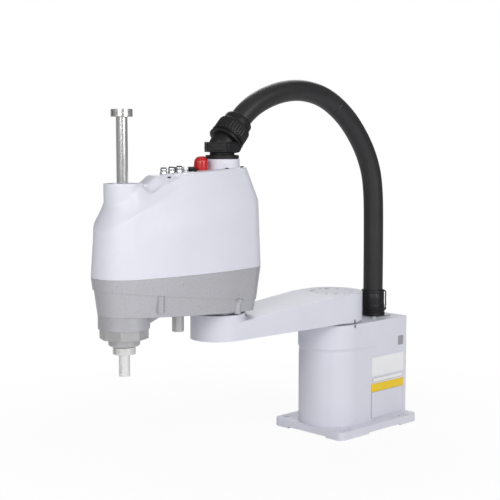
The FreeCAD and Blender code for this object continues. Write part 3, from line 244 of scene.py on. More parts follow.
NODE_FINISH = {
    "arm_one_casting": "arm_paint", "base_casting": "arm_paint", "rear_panel": "arm_paint",
    "cable_duct": "arm_paint", "head_cover": "cover_paint", "head_casting": "casting_paint",
    "ball_nut": "ground_steel", "ball_nut_bearing": "turned_steel", "j1_output_disc": "turned_steel",
    "j1_reducer": "turned_steel", "j2_output_disc": "turned_steel", "j2_reducer": "turned_steel",
    "j2_stop_pin": "turned_steel", "spline_shaft": "ground_steel", "spline_nut": "ground_steel",
    "spline_nut_bearing": "turned_steel", "spline_nut_ring": "turned_steel",
    "retainer_flange": "turned_steel", "upper_collar": "nickel_plate", "lower_collar": "nickel_plate",
    "conduit_plate": "zinc_plate", "head_air_fittings": "nickel_plate", "base_air_fittings": "black_nylon",
    "drive_plate": "machined_aluminium", "lift_motor_bracket": "machined_aluminium",
    "lift_drive_pulley": "machined_aluminium", "lift_pulley": "machined_aluminium",
    "roll_drive_pulley": "machined_aluminium", "roll_pulley": "machined_aluminium",
    "lift_belt": "belt_rubber", "roll_belt": "belt_rubber", "hose_upper": "hose_rubber",
    "hose_lower": "hose_rubber", "j1_motor": "black_oxide", "j2_motor": "black_oxide",
    "j3_motor": "black_oxide", "j4_motor": "black_oxide", "j1_output_screws": "black_oxide",
    "retainer_screws": "black_oxide", "upper_collar_screw": "black_oxide",
    "lower_collar_screw": "black_oxide", "conduit_plate_screws": "zinc_plate",
    "grease_plug": "black_oxide", "lamp_lens": "lamp_red", "lamp_base": "black_nylon",
    "brake_button": "button_cap", "brake_button_housing": "black_nylon", "head_connector": "black_nylon",
    "conduit_fitting": "black_nylon", "conduit_latch": "black_nylon", "duct_lock_ring": "black_nylon",
    "hose_elbow": "black_nylon", "hose_union_nut": "black_nylon", "power_socket": "black_nylon",
    "signal_socket": "black_nylon",
}
FINISHES = {}


def body_holding(node):
    """The moving body that a CAD node belongs to."""
    for body, members in FRAME["record"]["behaviour"]["bodies"].items():
        if node in members:
            return body
    raise RuntimeError("no body holds " + node)


# Mesh helpers.

def make_piece(name, mesh, body, finish):
    """Put a mesh in the scene as a piece that rides on a body, unless the body is left for later."""
    piece = bpy.data.objects.new(name, mesh)
    bpy.context.scene.collection.objects.link(piece)
    mesh.materials.clear()
    mesh.materials.append(FINISHES[finish])
    if body is not None:
        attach(piece, body)
    return piece


def mesh_from(name, points, faces, smooth=True):
    """A mesh from points in metres and the faces between them."""
    mesh = bpy.data.meshes.new(name)
    mesh.from_pydata([tuple(point) for point in points], [], faces)
    mesh.update()
    if smooth:
        mesh.polygons.foreach_set("use_smooth", [True] * len(mesh.polygons))
    return mesh


def baked(piece):
    """Apply a piece's modifiers, and leave a plain mesh."""
    graph = bpy.context.evaluated_depsgraph_get()
    graph.update()
    finished = bpy.data.meshes.new_from_object(piece.evaluated_get(graph))
    piece.modifiers.clear()
    old = piece.data
    piece.data = finished
    if old.users == 0:
        bpy.data.meshes.remove(old)
    return piece


def smoothed(mesh, angle):
    """Shade a mesh smooth, but for the edges that bend more than an angle in degrees."""
    mesh.polygons.foreach_set("use_smooth", [True] * len(mesh.polygons))
    mesh.set_sharp_from_angle(angle=math.radians(angle))


def evened(piece):
    """Weight a piece's normals by the size of its faces, up to the sharp edges."""
    even = piece.modifiers.new("even", "WEIGHTED_NORMAL")
    even.keep_sharp = True
    baked(piece)


def sloped_ledge(work):
    """Turn the flat ledge round the column into a slope that faces down, with a shallow sweep below it."""
    parts = list(work.verts) + list(work.edges) + list(work.faces)
    bmesh.ops.bisect_plane(work, geom=parts, dist=1e-6, plane_co=(0, 0, SWEEP_FOOT * MM),
                           plane_no=(0, 0, 1))
    for vert in work.verts:
        x, y, z = vert.co / MM
        reach = math.hypot(x, y) if x > 0 else abs(y)
        if abs(z - LEDGE_HEIGHT) > 0.05 or reach < COLUMN_HALF - 2.5:
            continue
        share = min(1.0, max(0.0, 1 + x / COLUMN_FADE))
        if reach > COLUMN_HALF - 0.03:
            vert.co.z += LEDGE_RISE * MM * share
        else:
            inward = 1 - 0.7 * share / reach
            vert.co.y *= inward
            vert.co.x *= inward if x > 0 else 1.0
            vert.co.z -= LEDGE_DROP * MM * share


def on_ledge(edge, mesh):
    """True for an edge of the column's sloped ledge, with a millimetre to spare all round."""
    ends = [mesh.vertices[index].co / MM for index in edge.vertices]
    lowest = LEDGE_HEIGHT - LEDGE_DROP - 1
    highest = LEDGE_HEIGHT + LEDGE_RISE + 1
    return all(lowest < end.z < highest and abs(end.y) < COLUMN_HALF + 1 and end.x > -COLUMN_FADE - 1
               for end in ends)


def softened(node, width, segments=2, ledge=False):
    """A copy of a CAD node with its sharp edges rounded, standing for that node."""
    mesh = FRAME["nodes"][node].data.copy()
    mesh.name = node + "_soft"
    work = bmesh.new()
    work.from_mesh(mesh)
    bmesh.ops.remove_doubles(work, verts=work.verts, dist=2e-6)
    if ledge:
        sloped_ledge(work)
    bmesh.ops.dissolve_limit(work, angle_limit=math.radians(1.0), verts=work.verts, edges=work.edges)
    work.to_mesh(mesh)
    work.free()
    piece = make_piece(node + "_soft", mesh, None, NODE_FINISH[node])
    bevel = piece.modifiers.new("edges", "BEVEL")
    bevel.width = width
    bevel.segments = segments
    bevel.limit_method = "ANGLE"
    bevel.angle_limit = math.radians(32.0)
    bevel.use_clamp_overlap = True
    bevel.miter_outer = "MITER_ARC"
    baked(piece)
    smoothed(piece.data, 32.0)
    if ledge:
        for edge in piece.data.edges:
            edge.use_edge_sharp |= on_ledge(edge, piece.data)
    evened(piece)
    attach(piece, body_holding(node))
    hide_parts(node)
    return piece


def placed_mesh(name, work, at=(0.0, 0.0, 0.0), turn=0.0, axis="Z"):
    """A mesh from shapes built in millimetres, turned, set in place and faced outward."""
    turned = Matrix.Rotation(math.radians(turn), 4, axis) @ Matrix.Scale(MM, 4)
    place = Matrix.Translation(Vector(at) * MM) @ turned
    bmesh.ops.transform(work, matrix=place, verts=work.verts)
    bmesh.ops.recalc_face_normals(work, faces=work.faces)
    mesh = bpy.data.meshes.new(name)
    work.to_mesh(mesh)
    work.free()
    return mesh


def skin_rows(work, rows):
    """Join rows of as many vertices with faces, and close the first and the last row."""
    count = len(rows[0])
    for first, second in zip(rows, rows[1:]):
        for i in range(count):
            k = (i + 1) % count
            work.faces.new((first[i], first[k], second[k], second[i]))
    work.faces.new(rows[0])
    work.faces.new(rows[-1])


def turned_piece(name, profile, finish, body, at=(0.0, 0.0, 0.0), lean=0.0, sides=48, ribs=0, rib_depth=0.0):
    """Turn a closed profile of radius, height and rib share, in millimetres, round an axis that may lean."""
    work = bmesh.new()
    rows = []
    for radius, height, share in profile:
        if radius <= 0:
            rows.append([work.verts.new((0.0, 0.0, height))])
            continue
        row = []
        for i in range(sides):
            angle = 2 * math.pi * i / sides
            wave = 0.5 - 0.5 * math.cos(ribs * angle) if ribs else 0.0
            reach = radius - rib_depth * share * wave ** 3
            row.append(work.verts.new((reach * math.cos(angle), reach * math.sin(angle), height)))
        rows.append(row)
    closed = profile[0][0] > 0
    for first, second in zip(rows, rows[1:] + (rows[:1] if closed else [])):
        for i in range(sides):
            k = (i + 1) % sides
            corners = [row[j % len(row)] for row, j in ((first, i), (first, k), (second, k), (second, i))]
            kept = [vert for j, vert in enumerate(corners) if vert not in corners[:j]]
            if len(kept) > 2:
                work.faces.new(kept)
    mesh = placed_mesh(name, work, at, -lean, "Y")
    smoothed(mesh, 40.0)
    return make_piece(name, mesh, body, finish)


def rounded_slab(name, finish, body, size, at, turn=0.0, corner=1.0, edge=0.2):
    """A thin plate with round corners and softened edges. Size, place and corner are in millimetres."""
    length, height, thick = size
    work = bmesh.new()
    outline = []
    for side_x, side_z, start in ((1, 1, 0), (-1, 1, 90), (-1, -1, 180), (1, -1, 270)):
        for step in range(5):
            angle = math.radians(start + 22.5 * step)
            outline.append((side_x * (length / 2 - corner) + corner * math.cos(angle),
                            side_z * (height / 2 - corner) + corner * math.sin(angle)))
    inner = [(x * (1 - 2 * edge / length), z * (1 - 2 * edge / height)) for x, z in outline]
    rings = ((outline, 0.0), (outline, thick - edge), (inner, thick))
    skin_rows(work, [[work.verts.new((x, depth, z)) for x, z in points] for points, depth in rings])
    return make_piece(name, placed_mesh(name, work, at, turn), body, finish)


def screw_mesh(radius, height, socket):
    """One socket head screw in millimetres, with its head's underside at the origin."""
    work = bmesh.new()
    turns = [2 * math.pi * i / 24 for i in range(24)]
    rows = []
    for reach, level in ((radius, 0.0), (radius, 0.75 * height), (radius - 0.12 * height, height)):
        rows.append([work.verts.new((reach * math.cos(angle), reach * math.sin(angle), level))
                     for angle in turns])
    for level in (height, 0.35 * height):
        ring = []
        for angle in turns:
            around = (angle + math.pi / 6) % (math.pi / 3) - math.pi / 6
            reach = socket / math.cos(around)
            ring.append(work.verts.new((reach * math.cos(angle), reach * math.sin(angle), level)))
        rows.append(ring)
    skin_rows(work, rows)
    return placed_mesh("screw_pattern", work)


def screw_tree():
    """Geometry Nodes that set one screw on every point of a mesh, turned to the point's own direction."""
    tree = bpy.data.node_groups.new("screws_on_points", "GeometryNodeTree")
    sockets = {}
    for name, kind in (("Geometry", "NodeSocketGeometry"), ("Screw", "NodeSocketObject"),
                       ("Size", "NodeSocketFloat"), ("Finish", "NodeSocketMaterial")):
        sockets[name] = tree.interface.new_socket(name, in_out="INPUT", socket_type=kind).identifier
    tree.interface.new_socket("Geometry", in_out="OUTPUT", socket_type="NodeSocketGeometry")
    nodes = tree.nodes
    links = tree.links
    entry = nodes.new("NodeGroupInput")
    leave = nodes.new("NodeGroupOutput")
    points = nodes.new("GeometryNodeMeshToPoints")
    pattern = nodes.new("GeometryNodeObjectInfo")
    facing = nodes.new("GeometryNodeInputNamedAttribute")
    facing.data_type = "FLOAT_VECTOR"
    facing.inputs["Name"].default_value = "facing"
    align = nodes.new("FunctionNodeAlignRotationToVector")
    align.axis = "Z"
    spread_out = nodes.new("GeometryNodeInstanceOnPoints")
    real = nodes.new("GeometryNodeRealizeInstances")
    paint = nodes.new("GeometryNodeSetMaterial")
    for start, end in ((entry.outputs["Geometry"], points.inputs["Mesh"]),
                       (points.outputs["Points"], spread_out.inputs["Points"]),
                       (entry.outputs["Screw"], pattern.inputs["Object"]),
                       (pattern.outputs["Geometry"], spread_out.inputs["Instance"]),
                       (facing.outputs["Attribute"], align.inputs["Vector"]),
                       (align.outputs["Rotation"], spread_out.inputs["Rotation"]),
                       (entry.outputs["Size"], spread_out.inputs["Scale"]),
                       (spread_out.outputs["Instances"], real.inputs["Geometry"]),
                       (real.outputs["Geometry"], paint.inputs["Geometry"]),
                       (entry.outputs["Finish"], paint.inputs["Material"]),
                       (paint.outputs["Geometry"], leave.inputs["Geometry"])):
        links.new(start, end)
    return tree, sockets


def screw_group(name, tree, sockets, pattern, places, facing, size, finish, body):
    """Screws on stated places, in millimetres, as one plain mesh that rides on a body."""
    mesh = mesh_from(name, [tuple(v * MM for v in place) for place in places], [], smooth=False)
    direction = mesh.attributes.new("facing", "FLOAT_VECTOR", "POINT")
    direction.data.foreach_set("vector", np.tile(np.asarray(facing, np.float32), len(places)))
    piece = bpy.data.objects.new(name, mesh)
    bpy.context.scene.collection.objects.link(piece)
    spreader = piece.modifiers.new("screws", "NODES")
    spreader.node_group = tree
    spreader[sockets["Screw"]] = pattern
    spreader[sockets["Size"]] = size
    spreader[sockets["Finish"]] = FINISHES[finish]
    baked(piece)
    piece.data.set_sharp_from_angle(angle=math.radians(35))
    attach(piece, body)
    return piece


def sweep_tube(points, radius, sides=48):
    """Points and faces of a closed round tube along points, with no twist, and its lengthwise map."""
    points = np.asarray(points, float)
    tangent = np.gradient(points, axis=0)
    tangent /= np.linalg.norm(tangent, axis=1)[:, None]
    normal = np.cross(tangent[0], (0.0, 1.0, 0.0))
    normal /= np.linalg.norm(normal)
    travel = np.concatenate([[0.0], np.cumsum(np.linalg.norm(np.diff(points, axis=0), axis=1))])
    turn = np.linspace(0, 2 * math.pi, sides, endpoint=False)
    verts = []
    way = []
    for i, point in enumerate(points):
        normal = normal - tangent[i] * normal.dot(tangent[i])
        normal /= np.linalg.norm(normal)
        side = np.cross(tangent[i], normal)
        for j, angle in enumerate(turn):
            verts.append(point + radius * (math.cos(angle) * normal + math.sin(angle) * side))
            way.append((travel[i] * 10, abs(j - sides / 2) / sides, 0.0))
    faces = []
    for i in range(len(points) - 1):
        for j in range(sides):
            k = (j + 1) % sides
            faces.append((i * sides + j, i * sides + k, (i + 1) * sides + k, (i + 1) * sides + j))
    faces.append(tuple(range(sides))[::-1])
    faces.append(tuple((len(points) - 1) * sides + j for j in range(sides)))
    return verts, faces, way


# The hose's route in metres, from the union nut on the head down to the fitting on the base, its radius
# and the point over the first arm where its two lengths meet.
HOSE_ROUTE = [
    (0.2775, 0.0, 0.63607), (0.255, 0.0, 0.6602), (0.212, 0.0015, 0.686), (0.154, 0.0035, 0.7045),
    (0.095, 0.006, 0.7087), (0.034, 0.0085, 0.696), (-0.022, 0.011, 0.6625), (-0.063, 0.0135, 0.6205),
    (-0.095, 0.0155, 0.572), (-0.113, 0.0173, 0.515), (-0.115, 0.018, 0.400), (-0.115, 0.018, 0.274),
]
HOSE_RADIUS = 0.021
HOSE_MIDDLE = (0.006, 0.0098, 0.6793)


def hose_line():
    """Points along the hose's own spline, evenly read."""
    curve = bpy.data.curves.new("hose_line", "CURVE")
    curve.dimensions = "3D"
    spline = curve.splines.new("NURBS")
    spline.points.add(len(HOSE_ROUTE) - 1)
    for point, place in zip(spline.points, HOSE_ROUTE):
        point.co = (*place, 1.0)
    spline.order_u = 3
    spline.use_endpoint_u = True
    spline.resolution_u = 16
    holder = bpy.data.objects.new("hose_line", curve)
    bpy.context.scene.collection.objects.link(holder)
    graph = bpy.context.evaluated_depsgraph_get()
    graph.update()
    line = bpy.data.meshes.new_from_object(holder.evaluated_get(graph))
    points = np.array([vert.co for vert in line.vertices], float)
    bpy.data.objects.remove(holder)
    return points


# Settings that a user would change.

class RobotLook(bpy.types.PropertyGroup):
    """Colours and sizes of the dressing."""
    cover_colour: bpy.props.FloatVectorProperty(
        name="Cover colour", description="Paint on the moulded cover, base and first arm",
        subtype="COLOR", size=3, min=0.0, max=1.0, default=(0.76, 0.76, 0.84))
    casting_colour: bpy.props.FloatVectorProperty(
        name="Casting colour", description="Paint on the lower half of the second arm",
        subtype="COLOR", size=3, min=0.0, max=1.0, default=(0.55, 0.55, 0.58))
    nylon_colour: bpy.props.FloatVectorProperty(
        name="Nylon colour", description="Moulded hose fittings",
        subtype="COLOR", size=3, min=0.0, max=1.0, default=(0.008, 0.008, 0.009))
    hose_colour: bpy.props.FloatVectorProperty(
        name="Hose colour", description="Outside of the cable hose",
        subtype="COLOR", size=3, min=0.0, max=1.0, default=(0.014, 0.014, 0.015))
    lamp_colour: bpy.props.FloatVectorProperty(
        name="Lamp colour", description="Lens of the operation lamp",
        subtype="COLOR", size=3, min=0.0, max=1.0, default=(0.56, 0.012, 0.012))
    cover_roughness: bpy.props.FloatProperty(
        name="Cover roughness", description="Roughness of the cover's paint", min=0.0, max=1.0, default=0.36)
    casting_round: bpy.props.FloatProperty(
        name="Casting edge", description="Radius on the edges of the castings", unit="LENGTH",
        min=0.0, max=0.01, default=0.0018)
    fitting_round: bpy.props.FloatProperty(
        name="Fitting edge", description="Radius on the edges of small turned and moulded pieces",
        unit="LENGTH", min=0.0, max=0.005, default=0.0006)
    shoulder_fall: bpy.props.FloatProperty(
        name="Shoulder fall", description="Share of its height that the shoulder loses over the crease",
        subtype="FACTOR", min=0.0, max=0.8, default=0.45)
    floor_size: bpy.props.FloatProperty(
        name="Floor size", description="Width of the studio floor", unit="LENGTH", min=1.0, max=40.0,
        default=12.0)
    lamp_power: bpy.props.FloatProperty(
        name="Key power", description="Power of the main soft light, in watts", min=0.0, max=1000.0,
        default=28.0)


class ROBOT_OT_finishes(bpy.types.Operator):
    """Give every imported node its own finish"""
    bl_idname = "robot.finishes"
    bl_label = "Node finishes"

    def execute(self, context):
        FINISHES.update(build_finishes(context.scene.robot_look))
        for node, finish in NODE_FINISH.items():
            mesh = FRAME["nodes"][node].data
            if len(mesh.materials) == 0:
                mesh.materials.append(FINISHES[finish])
            for index in range(len(mesh.materials)):
                mesh.materials[index] = FINISHES[finish]
        return {"FINISHED"}


class ROBOT_OT_cover(bpy.types.Operator):
    """Cut the slanting crease into the moulded cover, let its shoulder fall and shade its round creases"""
    bl_idname = "robot.cover"
    bl_label = "Moulded cover"

    def execute(self, context):
        fall = context.scene.robot_look.shoulder_fall
        work = bmesh.new()
        work.from_mesh(FRAME["nodes"]["head_cover"].data)
        bmesh.ops.remove_doubles(work, verts=work.verts, dist=2e-6)
        for place, direction in shoulder_cuts():
            zone = [face for face in work.faces if face_near_shoulder(face)]
            verts = list({vert for face in zone for vert in face.verts})
            edges = list({edge for face in zone for edge in face.edges})
            bmesh.ops.bisect_plane(work, geom=verts + edges + zone, dist=1e-6, plane_co=place,
                                   plane_no=direction)
        bmesh.ops.triangulate(work, faces=work.faces)
        for vert in work.verts:
            vert.co.z -= shoulder_rise(vert.co) * fall
        mesh = bpy.data.meshes.new("head_cover_soft")
        work.to_mesh(mesh)
        work.free()
        piece = make_piece("head_cover_soft", mesh, None, "cover_paint")
        smoothed(piece.data, 34.0)
        evened(piece)
        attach(piece, "arm2")
        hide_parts("head_cover")
        return {"FINISHED"}


def shoulder_cuts():
    """Planes, each a point and a direction, that divide the shoulder finely enough to bend."""
    first, last, foot = [round(place / MM) for place in (SHOULDER_START, SHOULDER_END, SHOULDER_FOOT)]
    cuts = [(CREASE_FOOT, CREASE_NORMAL)]
    cuts += [((x * MM, 0, 0), (1, 0, 0)) for x in range(first + 1, last, 4)]
    cuts += [((0, y * MM, 0), (0, 1, 0)) for y in range(-52, 53, 4)]
    cuts += [((0, 0, z * MM), (0, 0, 1)) for z in range(foot, 546, 6)]
    return cuts


def face_near_shoulder(face):
    """True for a face of the cover that reaches the shoulder between the platform and the nose."""
    xs = [vert.co.x for vert in face.verts]
    top = max(vert.co.z for vert in face.verts)
    return max(xs) > SHOULDER_START - MM and min(xs) < SHOULDER_END and top > SHOULDER_FOOT - 8 * MM


def ramp(value, low, high):
    """Rise smoothly from 0 at low to 1 at high."""
    share = min(1.0, max(0.0, (value - low) / (high - low)))
    return share * share * (3 - 2 * share)


def shoulder_rise(place):
    """The height over the slanting crease, in metres, faded out round the tube, the nose and the platform."""
    rise = place.z - CREASE_FOOT[2] + CREASE_FALL * (place.x - CREASE_FOOT[0])
    clear = math.hypot(place.x - TOOL_X, place.y)
    after = ramp(place.x, SHOULDER_START, SHOULDER_START + 0.045)
    before = 1 - ramp(place.x, SHOULDER_END - 0.03, SHOULDER_END)
    return max(0.0, rise) * after * before * ramp(clear, 0.033, 0.05) * ramp(abs(place.y), 0.01, 0.032)


def deck_height(x):
    """Height of the cover's sloping platform at x, in millimetres."""
    return 546.0 + (484.0 - x) * 0.0616


class ROBOT_OT_castings(bpy.types.Operator):
    """Round the castings' edges, slope the column's ledge and set the pillars on the casting's flanks"""
    bl_idname = "robot.castings"
    bl_label = "Softened castings"

    def execute(self, context):
        width = context.scene.robot_look.casting_round
        for node in ("arm_one_casting", "head_casting", "rear_panel"):
            softened(node, width, 3)
        softened("base_casting", width / 2, 3, ledge=True)
        profile = ((0, 0, 0), (6.2, 0, 0), (7.0, 0.8, 0), (7.0, 17.0, 0), (7.6, 20.0, 0), (9.2, 23.4, 0),
                   (0, 23.6, 0))
        for side, name in ((1, "casting_pillar_near"), (-1, "casting_pillar_far")):
            turned_piece(name, profile, "casting_paint", "arm2", (325.5, side * 53.6, 285.5))
        return {"FINISHED"}


def strap(name, line, width, thick, finish, body, at, turn):
    """A bent strap along a line of reach and height, in millimetres, at a turn round an upright axis."""
    work = bmesh.new()
    rows = []
    for i, (reach, height) in enumerate(line):
        before = line[max(i - 1, 0)]
        after = line[min(i + 1, len(line) - 1)]
        along = Vector((after[0] - before[0], after[1] - before[1])).normalized()
        outward = Vector((-along.y, along.x)) * (thick / 2)
        rows.append([work.verts.new((reach + flip * outward.x, side * width / 2, height + flip * outward.y))
                     for side, flip in ((1, 1), (1, -1), (-1, -1), (-1, 1))])
    skin_rows(work, rows)
    piece = make_piece(name, placed_mesh(name, work, at, turn), None, finish)
    bevel = piece.modifiers.new("edges", "BEVEL")
    bevel.width = 0.0005
    bevel.segments = 2
    bevel.limit_method = "ANGLE"
    baked(piece)
    smoothed(piece.data, 40.0)
    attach(piece, body)
    return piece


class ROBOT_OT_conduit(bpy.types.Operator):
    """Turn the hose fitting on the base and bend its two latches"""
    bl_idname = "robot.conduit"
    bl_label = "Base hose fitting"

    def execute(self, context):
        profile = ((21.6, 231.6, 0), (25.6, 231.6, 0), (26.0, 232.2, 0), (26.0, 236.2, 0), (25.6, 236.8, 0),
                   (24.6, 237.2, 0), (24.6, 238.6, 0), (25.9, 239.2, 0), (25.9, 242.4, 0), (24.5, 243.0, 0),
                   (24.5, 244.6, 0), (25.8, 245.2, 0), (25.8, 248.2, 0), (24.6, 249.0, 0), (24.4, 250.8, 0),
                   (25.2, 252.0, 0), (24.6, 255.0, 0), (24.1, 262.0, 0), (24.1, 278.6, 0), (23.4, 279.6, 0),
                   (23.4, 280.8, 0), (24.8, 281.4, 0), (24.9, 284.8, 0), (24.2, 285.9, 0), (21.9, 285.9, 0),
                   (21.6, 285.2, 0))
        foot = (-115.0, 18.0, 0.0)
        fitting = turned_piece("base_hose_fitting", profile, "black_nylon", "base", foot, sides=96)
        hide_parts("conduit_fitting")
        line = ((24.6, 283.4), (26.6, 283.6), (27.6, 282.2), (27.5, 276.0), (27.2, 268.0), (27.5, 260.0),
                (28.0, 254.0), (26.9, 251.4), (27.4, 248.6), (28.0, 246.4), (27.0, 243.6), (25.6, 242.4))
        latch = strap("latch_near", line, 11.0, 1.8, "black_nylon", "base", foot, 135.0)
        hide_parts("conduit_latch")
        strap("latch_far", line, 11.0, 1.8, "black_nylon", "base", foot, -45.0)
        return {"FINISHED"}


class ROBOT_OT_fittings(bpy.types.Operator):
    """Round the edges of the small turned and moulded pieces, and turn the lamp's lens"""
    bl_idname = "robot.fittings"
    bl_label = "Softened fittings"

    def execute(self, context):
        width = context.scene.robot_look.fitting_round
        for node in ("upper_collar", "lower_collar", "retainer_flange", "spline_nut_ring", "j2_stop_pin",
                     "cable_duct", "head_connector", "brake_button_housing", "conduit_plate", "lamp_base"):
            softened(node, width, 2)
        softened("duct_lock_ring", 4 * width, 4)
        softened("hose_elbow", 2 * width, 3)
        box = np.array([vert.co for vert in FRAME["nodes"]["lamp_lens"].data.vertices]) / MM
        low, high = box.min(axis=0), box.max(axis=0)
        middle = (low + high) / 2
        skirt = 4.0
        bulb = 13.4
        tall = high[2] - low[2] + skirt
        wall = [(0, 0, 0), (13.6, 0, 0), (13.9, 0.6, 0), (13.8, 5.0, 0), (bulb, 11.0, 0)]
        dome = [(bulb * math.cos(math.radians(angle)), tall - bulb + bulb * math.sin(math.radians(angle)), 0)
                for angle in range(6, 90, 6)]
        lens = turned_piece("lamp_lens_cap", wall + dome + [(0, tall, 0)], "lamp_red", "arm2",
                            (middle[0], middle[1], low[2] - skirt), sides=64)
        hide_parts("lamp_lens")
        return {"FINISHED"}


class ROBOT_OT_outlet(bpy.types.Operator):
    """Turn the ribbed union nut and put the raised panels on the elbow"""
    bl_idname = "robot.outlet"
    bl_label = "Hose outlet"

    def execute(self, context):
        profile = ((25.3, 11.1, 0), (32.6, 11.1, 0), (33.9, 12.0, 0), (34.0, 13.4, 0), (33.2, 14.3, 0),
                   (30.7, 14.8, 0), (30.4, 18.4, 0), (31.8, 18.9, 0), (33.2, 19.6, 0), (33.3, 21.0, 0),
                   (32.5, 21.8, 0), (31.4, 22.4, 0), (31.2, 24.0, 0), (32.3, 24.7, 1), (32.6, 26.5, 1),
                   (32.6, 33.0, 1), (32.5, 40.0, 1), (32.3, 46.0, 1), (31.4, 47.8, 0.8), (29.6, 48.8, 0.2),
                   (28.2, 49.6, 0), (27.9, 56.0, 0), (27.6, 62.4, 0), (26.6, 63.9, 0), (22.4, 63.9, 0),
                   (21.5, 63.2, 0), (21.4, 52.2, 0), (25.3, 51.8, 0))
        nut = turned_piece("union_nut", profile, "black_nylon", "arm2", (DUCT_X, 0.0, 598.0), 43.0,
                           sides=240, ribs=30, rib_depth=0.9)
        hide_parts("hose_union_nut")
        reach = 30.25
        for i in range(6):
            turn = math.radians(30 + 60 * i)
            place = (DUCT_X + reach * math.cos(turn), reach * math.sin(turn), 595.6)
            rounded_slab("elbow_panel_%d" % i, "black_nylon", "arm2", (26.0, 15.0, 1.5), place,
                         60.0 * i - 60.0, 3.0, 1.2)
        return {"FINISHED"}


class ROBOT_OT_platform(bpy.types.Operator):
    """Turn the push-in fittings and the round connector on the cover's platform"""
    bl_idname = "robot.platform"
    bl_label = "Platform fittings"

    def execute(self, context):
        body = ((0, 0, 0), (6.5, 0, 0), (6.5, 4.6, 0), (6.2, 5.0, 0), (5.2, 5.3, 0), (5.2, 6.1, 0),
                (6.2, 6.5, 0), (6.4, 7.4, 0), (6.4, 9.6, 0), (5.9, 10.3, 0), (4.4, 10.4, 0), (4.4, 7.0, 0),
                (0, 7.0, 0))
        collet = ((3.1, 7.4, 0), (4.2, 7.4, 0), (4.2, 10.6, 0), (5.3, 11.0, 0), (5.3, 11.9, 0),
                  (4.9, 12.3, 0), (3.5, 12.3, 0), (3.1, 11.9, 0))
        for i in range(3):
            x = 456.5 - 18.5 * i
            foot = (x, 0.0, deck_height(x) - 0.6)
            fitting = turned_piece("push_fitting_%d" % i, body, "zinc_plate", "arm2", foot)
            if i == 0:
                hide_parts("head_air_fittings")
            turned_piece("push_collet_%d" % i, collet, "black_nylon", "arm2", foot)
        barrel = ((0, 0, 0), (6.3, 0, 0), (6.3, 2.0, 0), (5.6, 2.4, 0), (5.6, 3.4, 0), (6.2, 3.8, 0),
                  (6.2, 7.8, 1), (5.6, 8.6, 0), (4.6, 8.7, 0), (4.6, 6.0, 0), (0, 6.0, 0))
        turned_piece("round_connector", barrel, "zinc_plate", "arm2", (405.6, 1.0, 550.6),
                     sides=96, ribs=16, rib_depth=0.6)
        return {"FINISHED"}


class ROBOT_OT_marks(bpy.types.Operator):
    """Put the zero marks on the joints and the bare plates on the column's side"""
    bl_idname = "robot.marks"
    bl_label = "Marks and bare plates"

    def execute(self, context):
        for name, body, size, at, turn in (
                ("zero_mark_base", "base", (3.4, 6.4, 0.4), (4.6, COLUMN_HALF, 225.0), 0.0),
                ("zero_mark_arm", "arm1", (3.4, 7.6, 0.4), (-0.2, 65.0, 234.4), 0.0),
                ("zero_mark_elbow", "arm1", (3.2, 5.6, 0.4), (293.6, 42.2, 278.8), 36.87)):
            rounded_slab(name, "mark_paint", body, size, at, turn, 0.4, 0.1)
        wall = COLUMN_HALF - 0.6
        for name, finish, size, place in (
                ("code_plate", "plate_grey", (18.0, 20.0, 0.85), (-147.0, 178.0)),
                ("data_plate", "plate_white", (106.0, 40.0, 0.9), (-105.0, 131.0)),
                ("strip_border", "plate_grey", (98.0, 8.4, 0.8), (-104.0, 102.6)),
                ("strip_plate", "plate_white", (97.0, 7.4, 0.9), (-104.0, 102.6)),
                ("colour_band", "plate_yellow", (108.0, 17.5, 0.9), (-104.0, 86.0)),
                ("lower_border", "plate_grey", (106.0, 56.4, 0.8), (-104.0, 48.8)),
                ("lower_plate", "arm_paint", (104.8, 55.2, 0.9), (-104.0, 48.8))):
            rounded_slab(name, finish, "base", size, (place[0], wall, place[1]), 0.0, 1.5, 0.12)
        return {"FINISHED"}


class ROBOT_OT_screws(bpy.types.Operator):
    """Spread the small screws of the platform and the rear panel with Geometry Nodes"""
    bl_idname = "robot.screws"
    bl_label = "Small screws"

    def execute(self, context):
        tree, sockets = screw_tree()
        pattern = bpy.data.objects.new("screw_pattern", screw_mesh(3.0, 2.2, 1.35))
        sunk = 0.3
        corners = [Vector((x, side * 22.0, deck_height(x) - sunk))
                   for x in (462.0, 400.0) for side in (1, -1)]
        fall = context.scene.robot_look.shoulder_fall / MM
        deck = [(*corner.xy, corner.z - fall * shoulder_rise(corner * MM)) for corner in corners]
        duct = []
        ring = 39.0
        for angle in (60, 120, 240, 300):
            x = DUCT_X + ring * math.cos(math.radians(angle))
            duct.append((x, ring * math.sin(math.radians(angle)), deck_height(x) - sunk))
        screw_group("platform_screws", tree, sockets, pattern, deck + duct, (0.0, 0.0, 1.0), 1.0,
                    "black_oxide", "arm2")
        panel = [(-175.0, side * 50.0, z) for z in (46.0, 120.0, 194.0) for side in (1, -1)]
        screw_group("panel_screws", tree, sockets, pattern, panel, (-1.0, 0.0, 0.0), 1.0,
                    "black_oxide", "base")
        bpy.data.objects.remove(pattern)
        return {"FINISHED"}


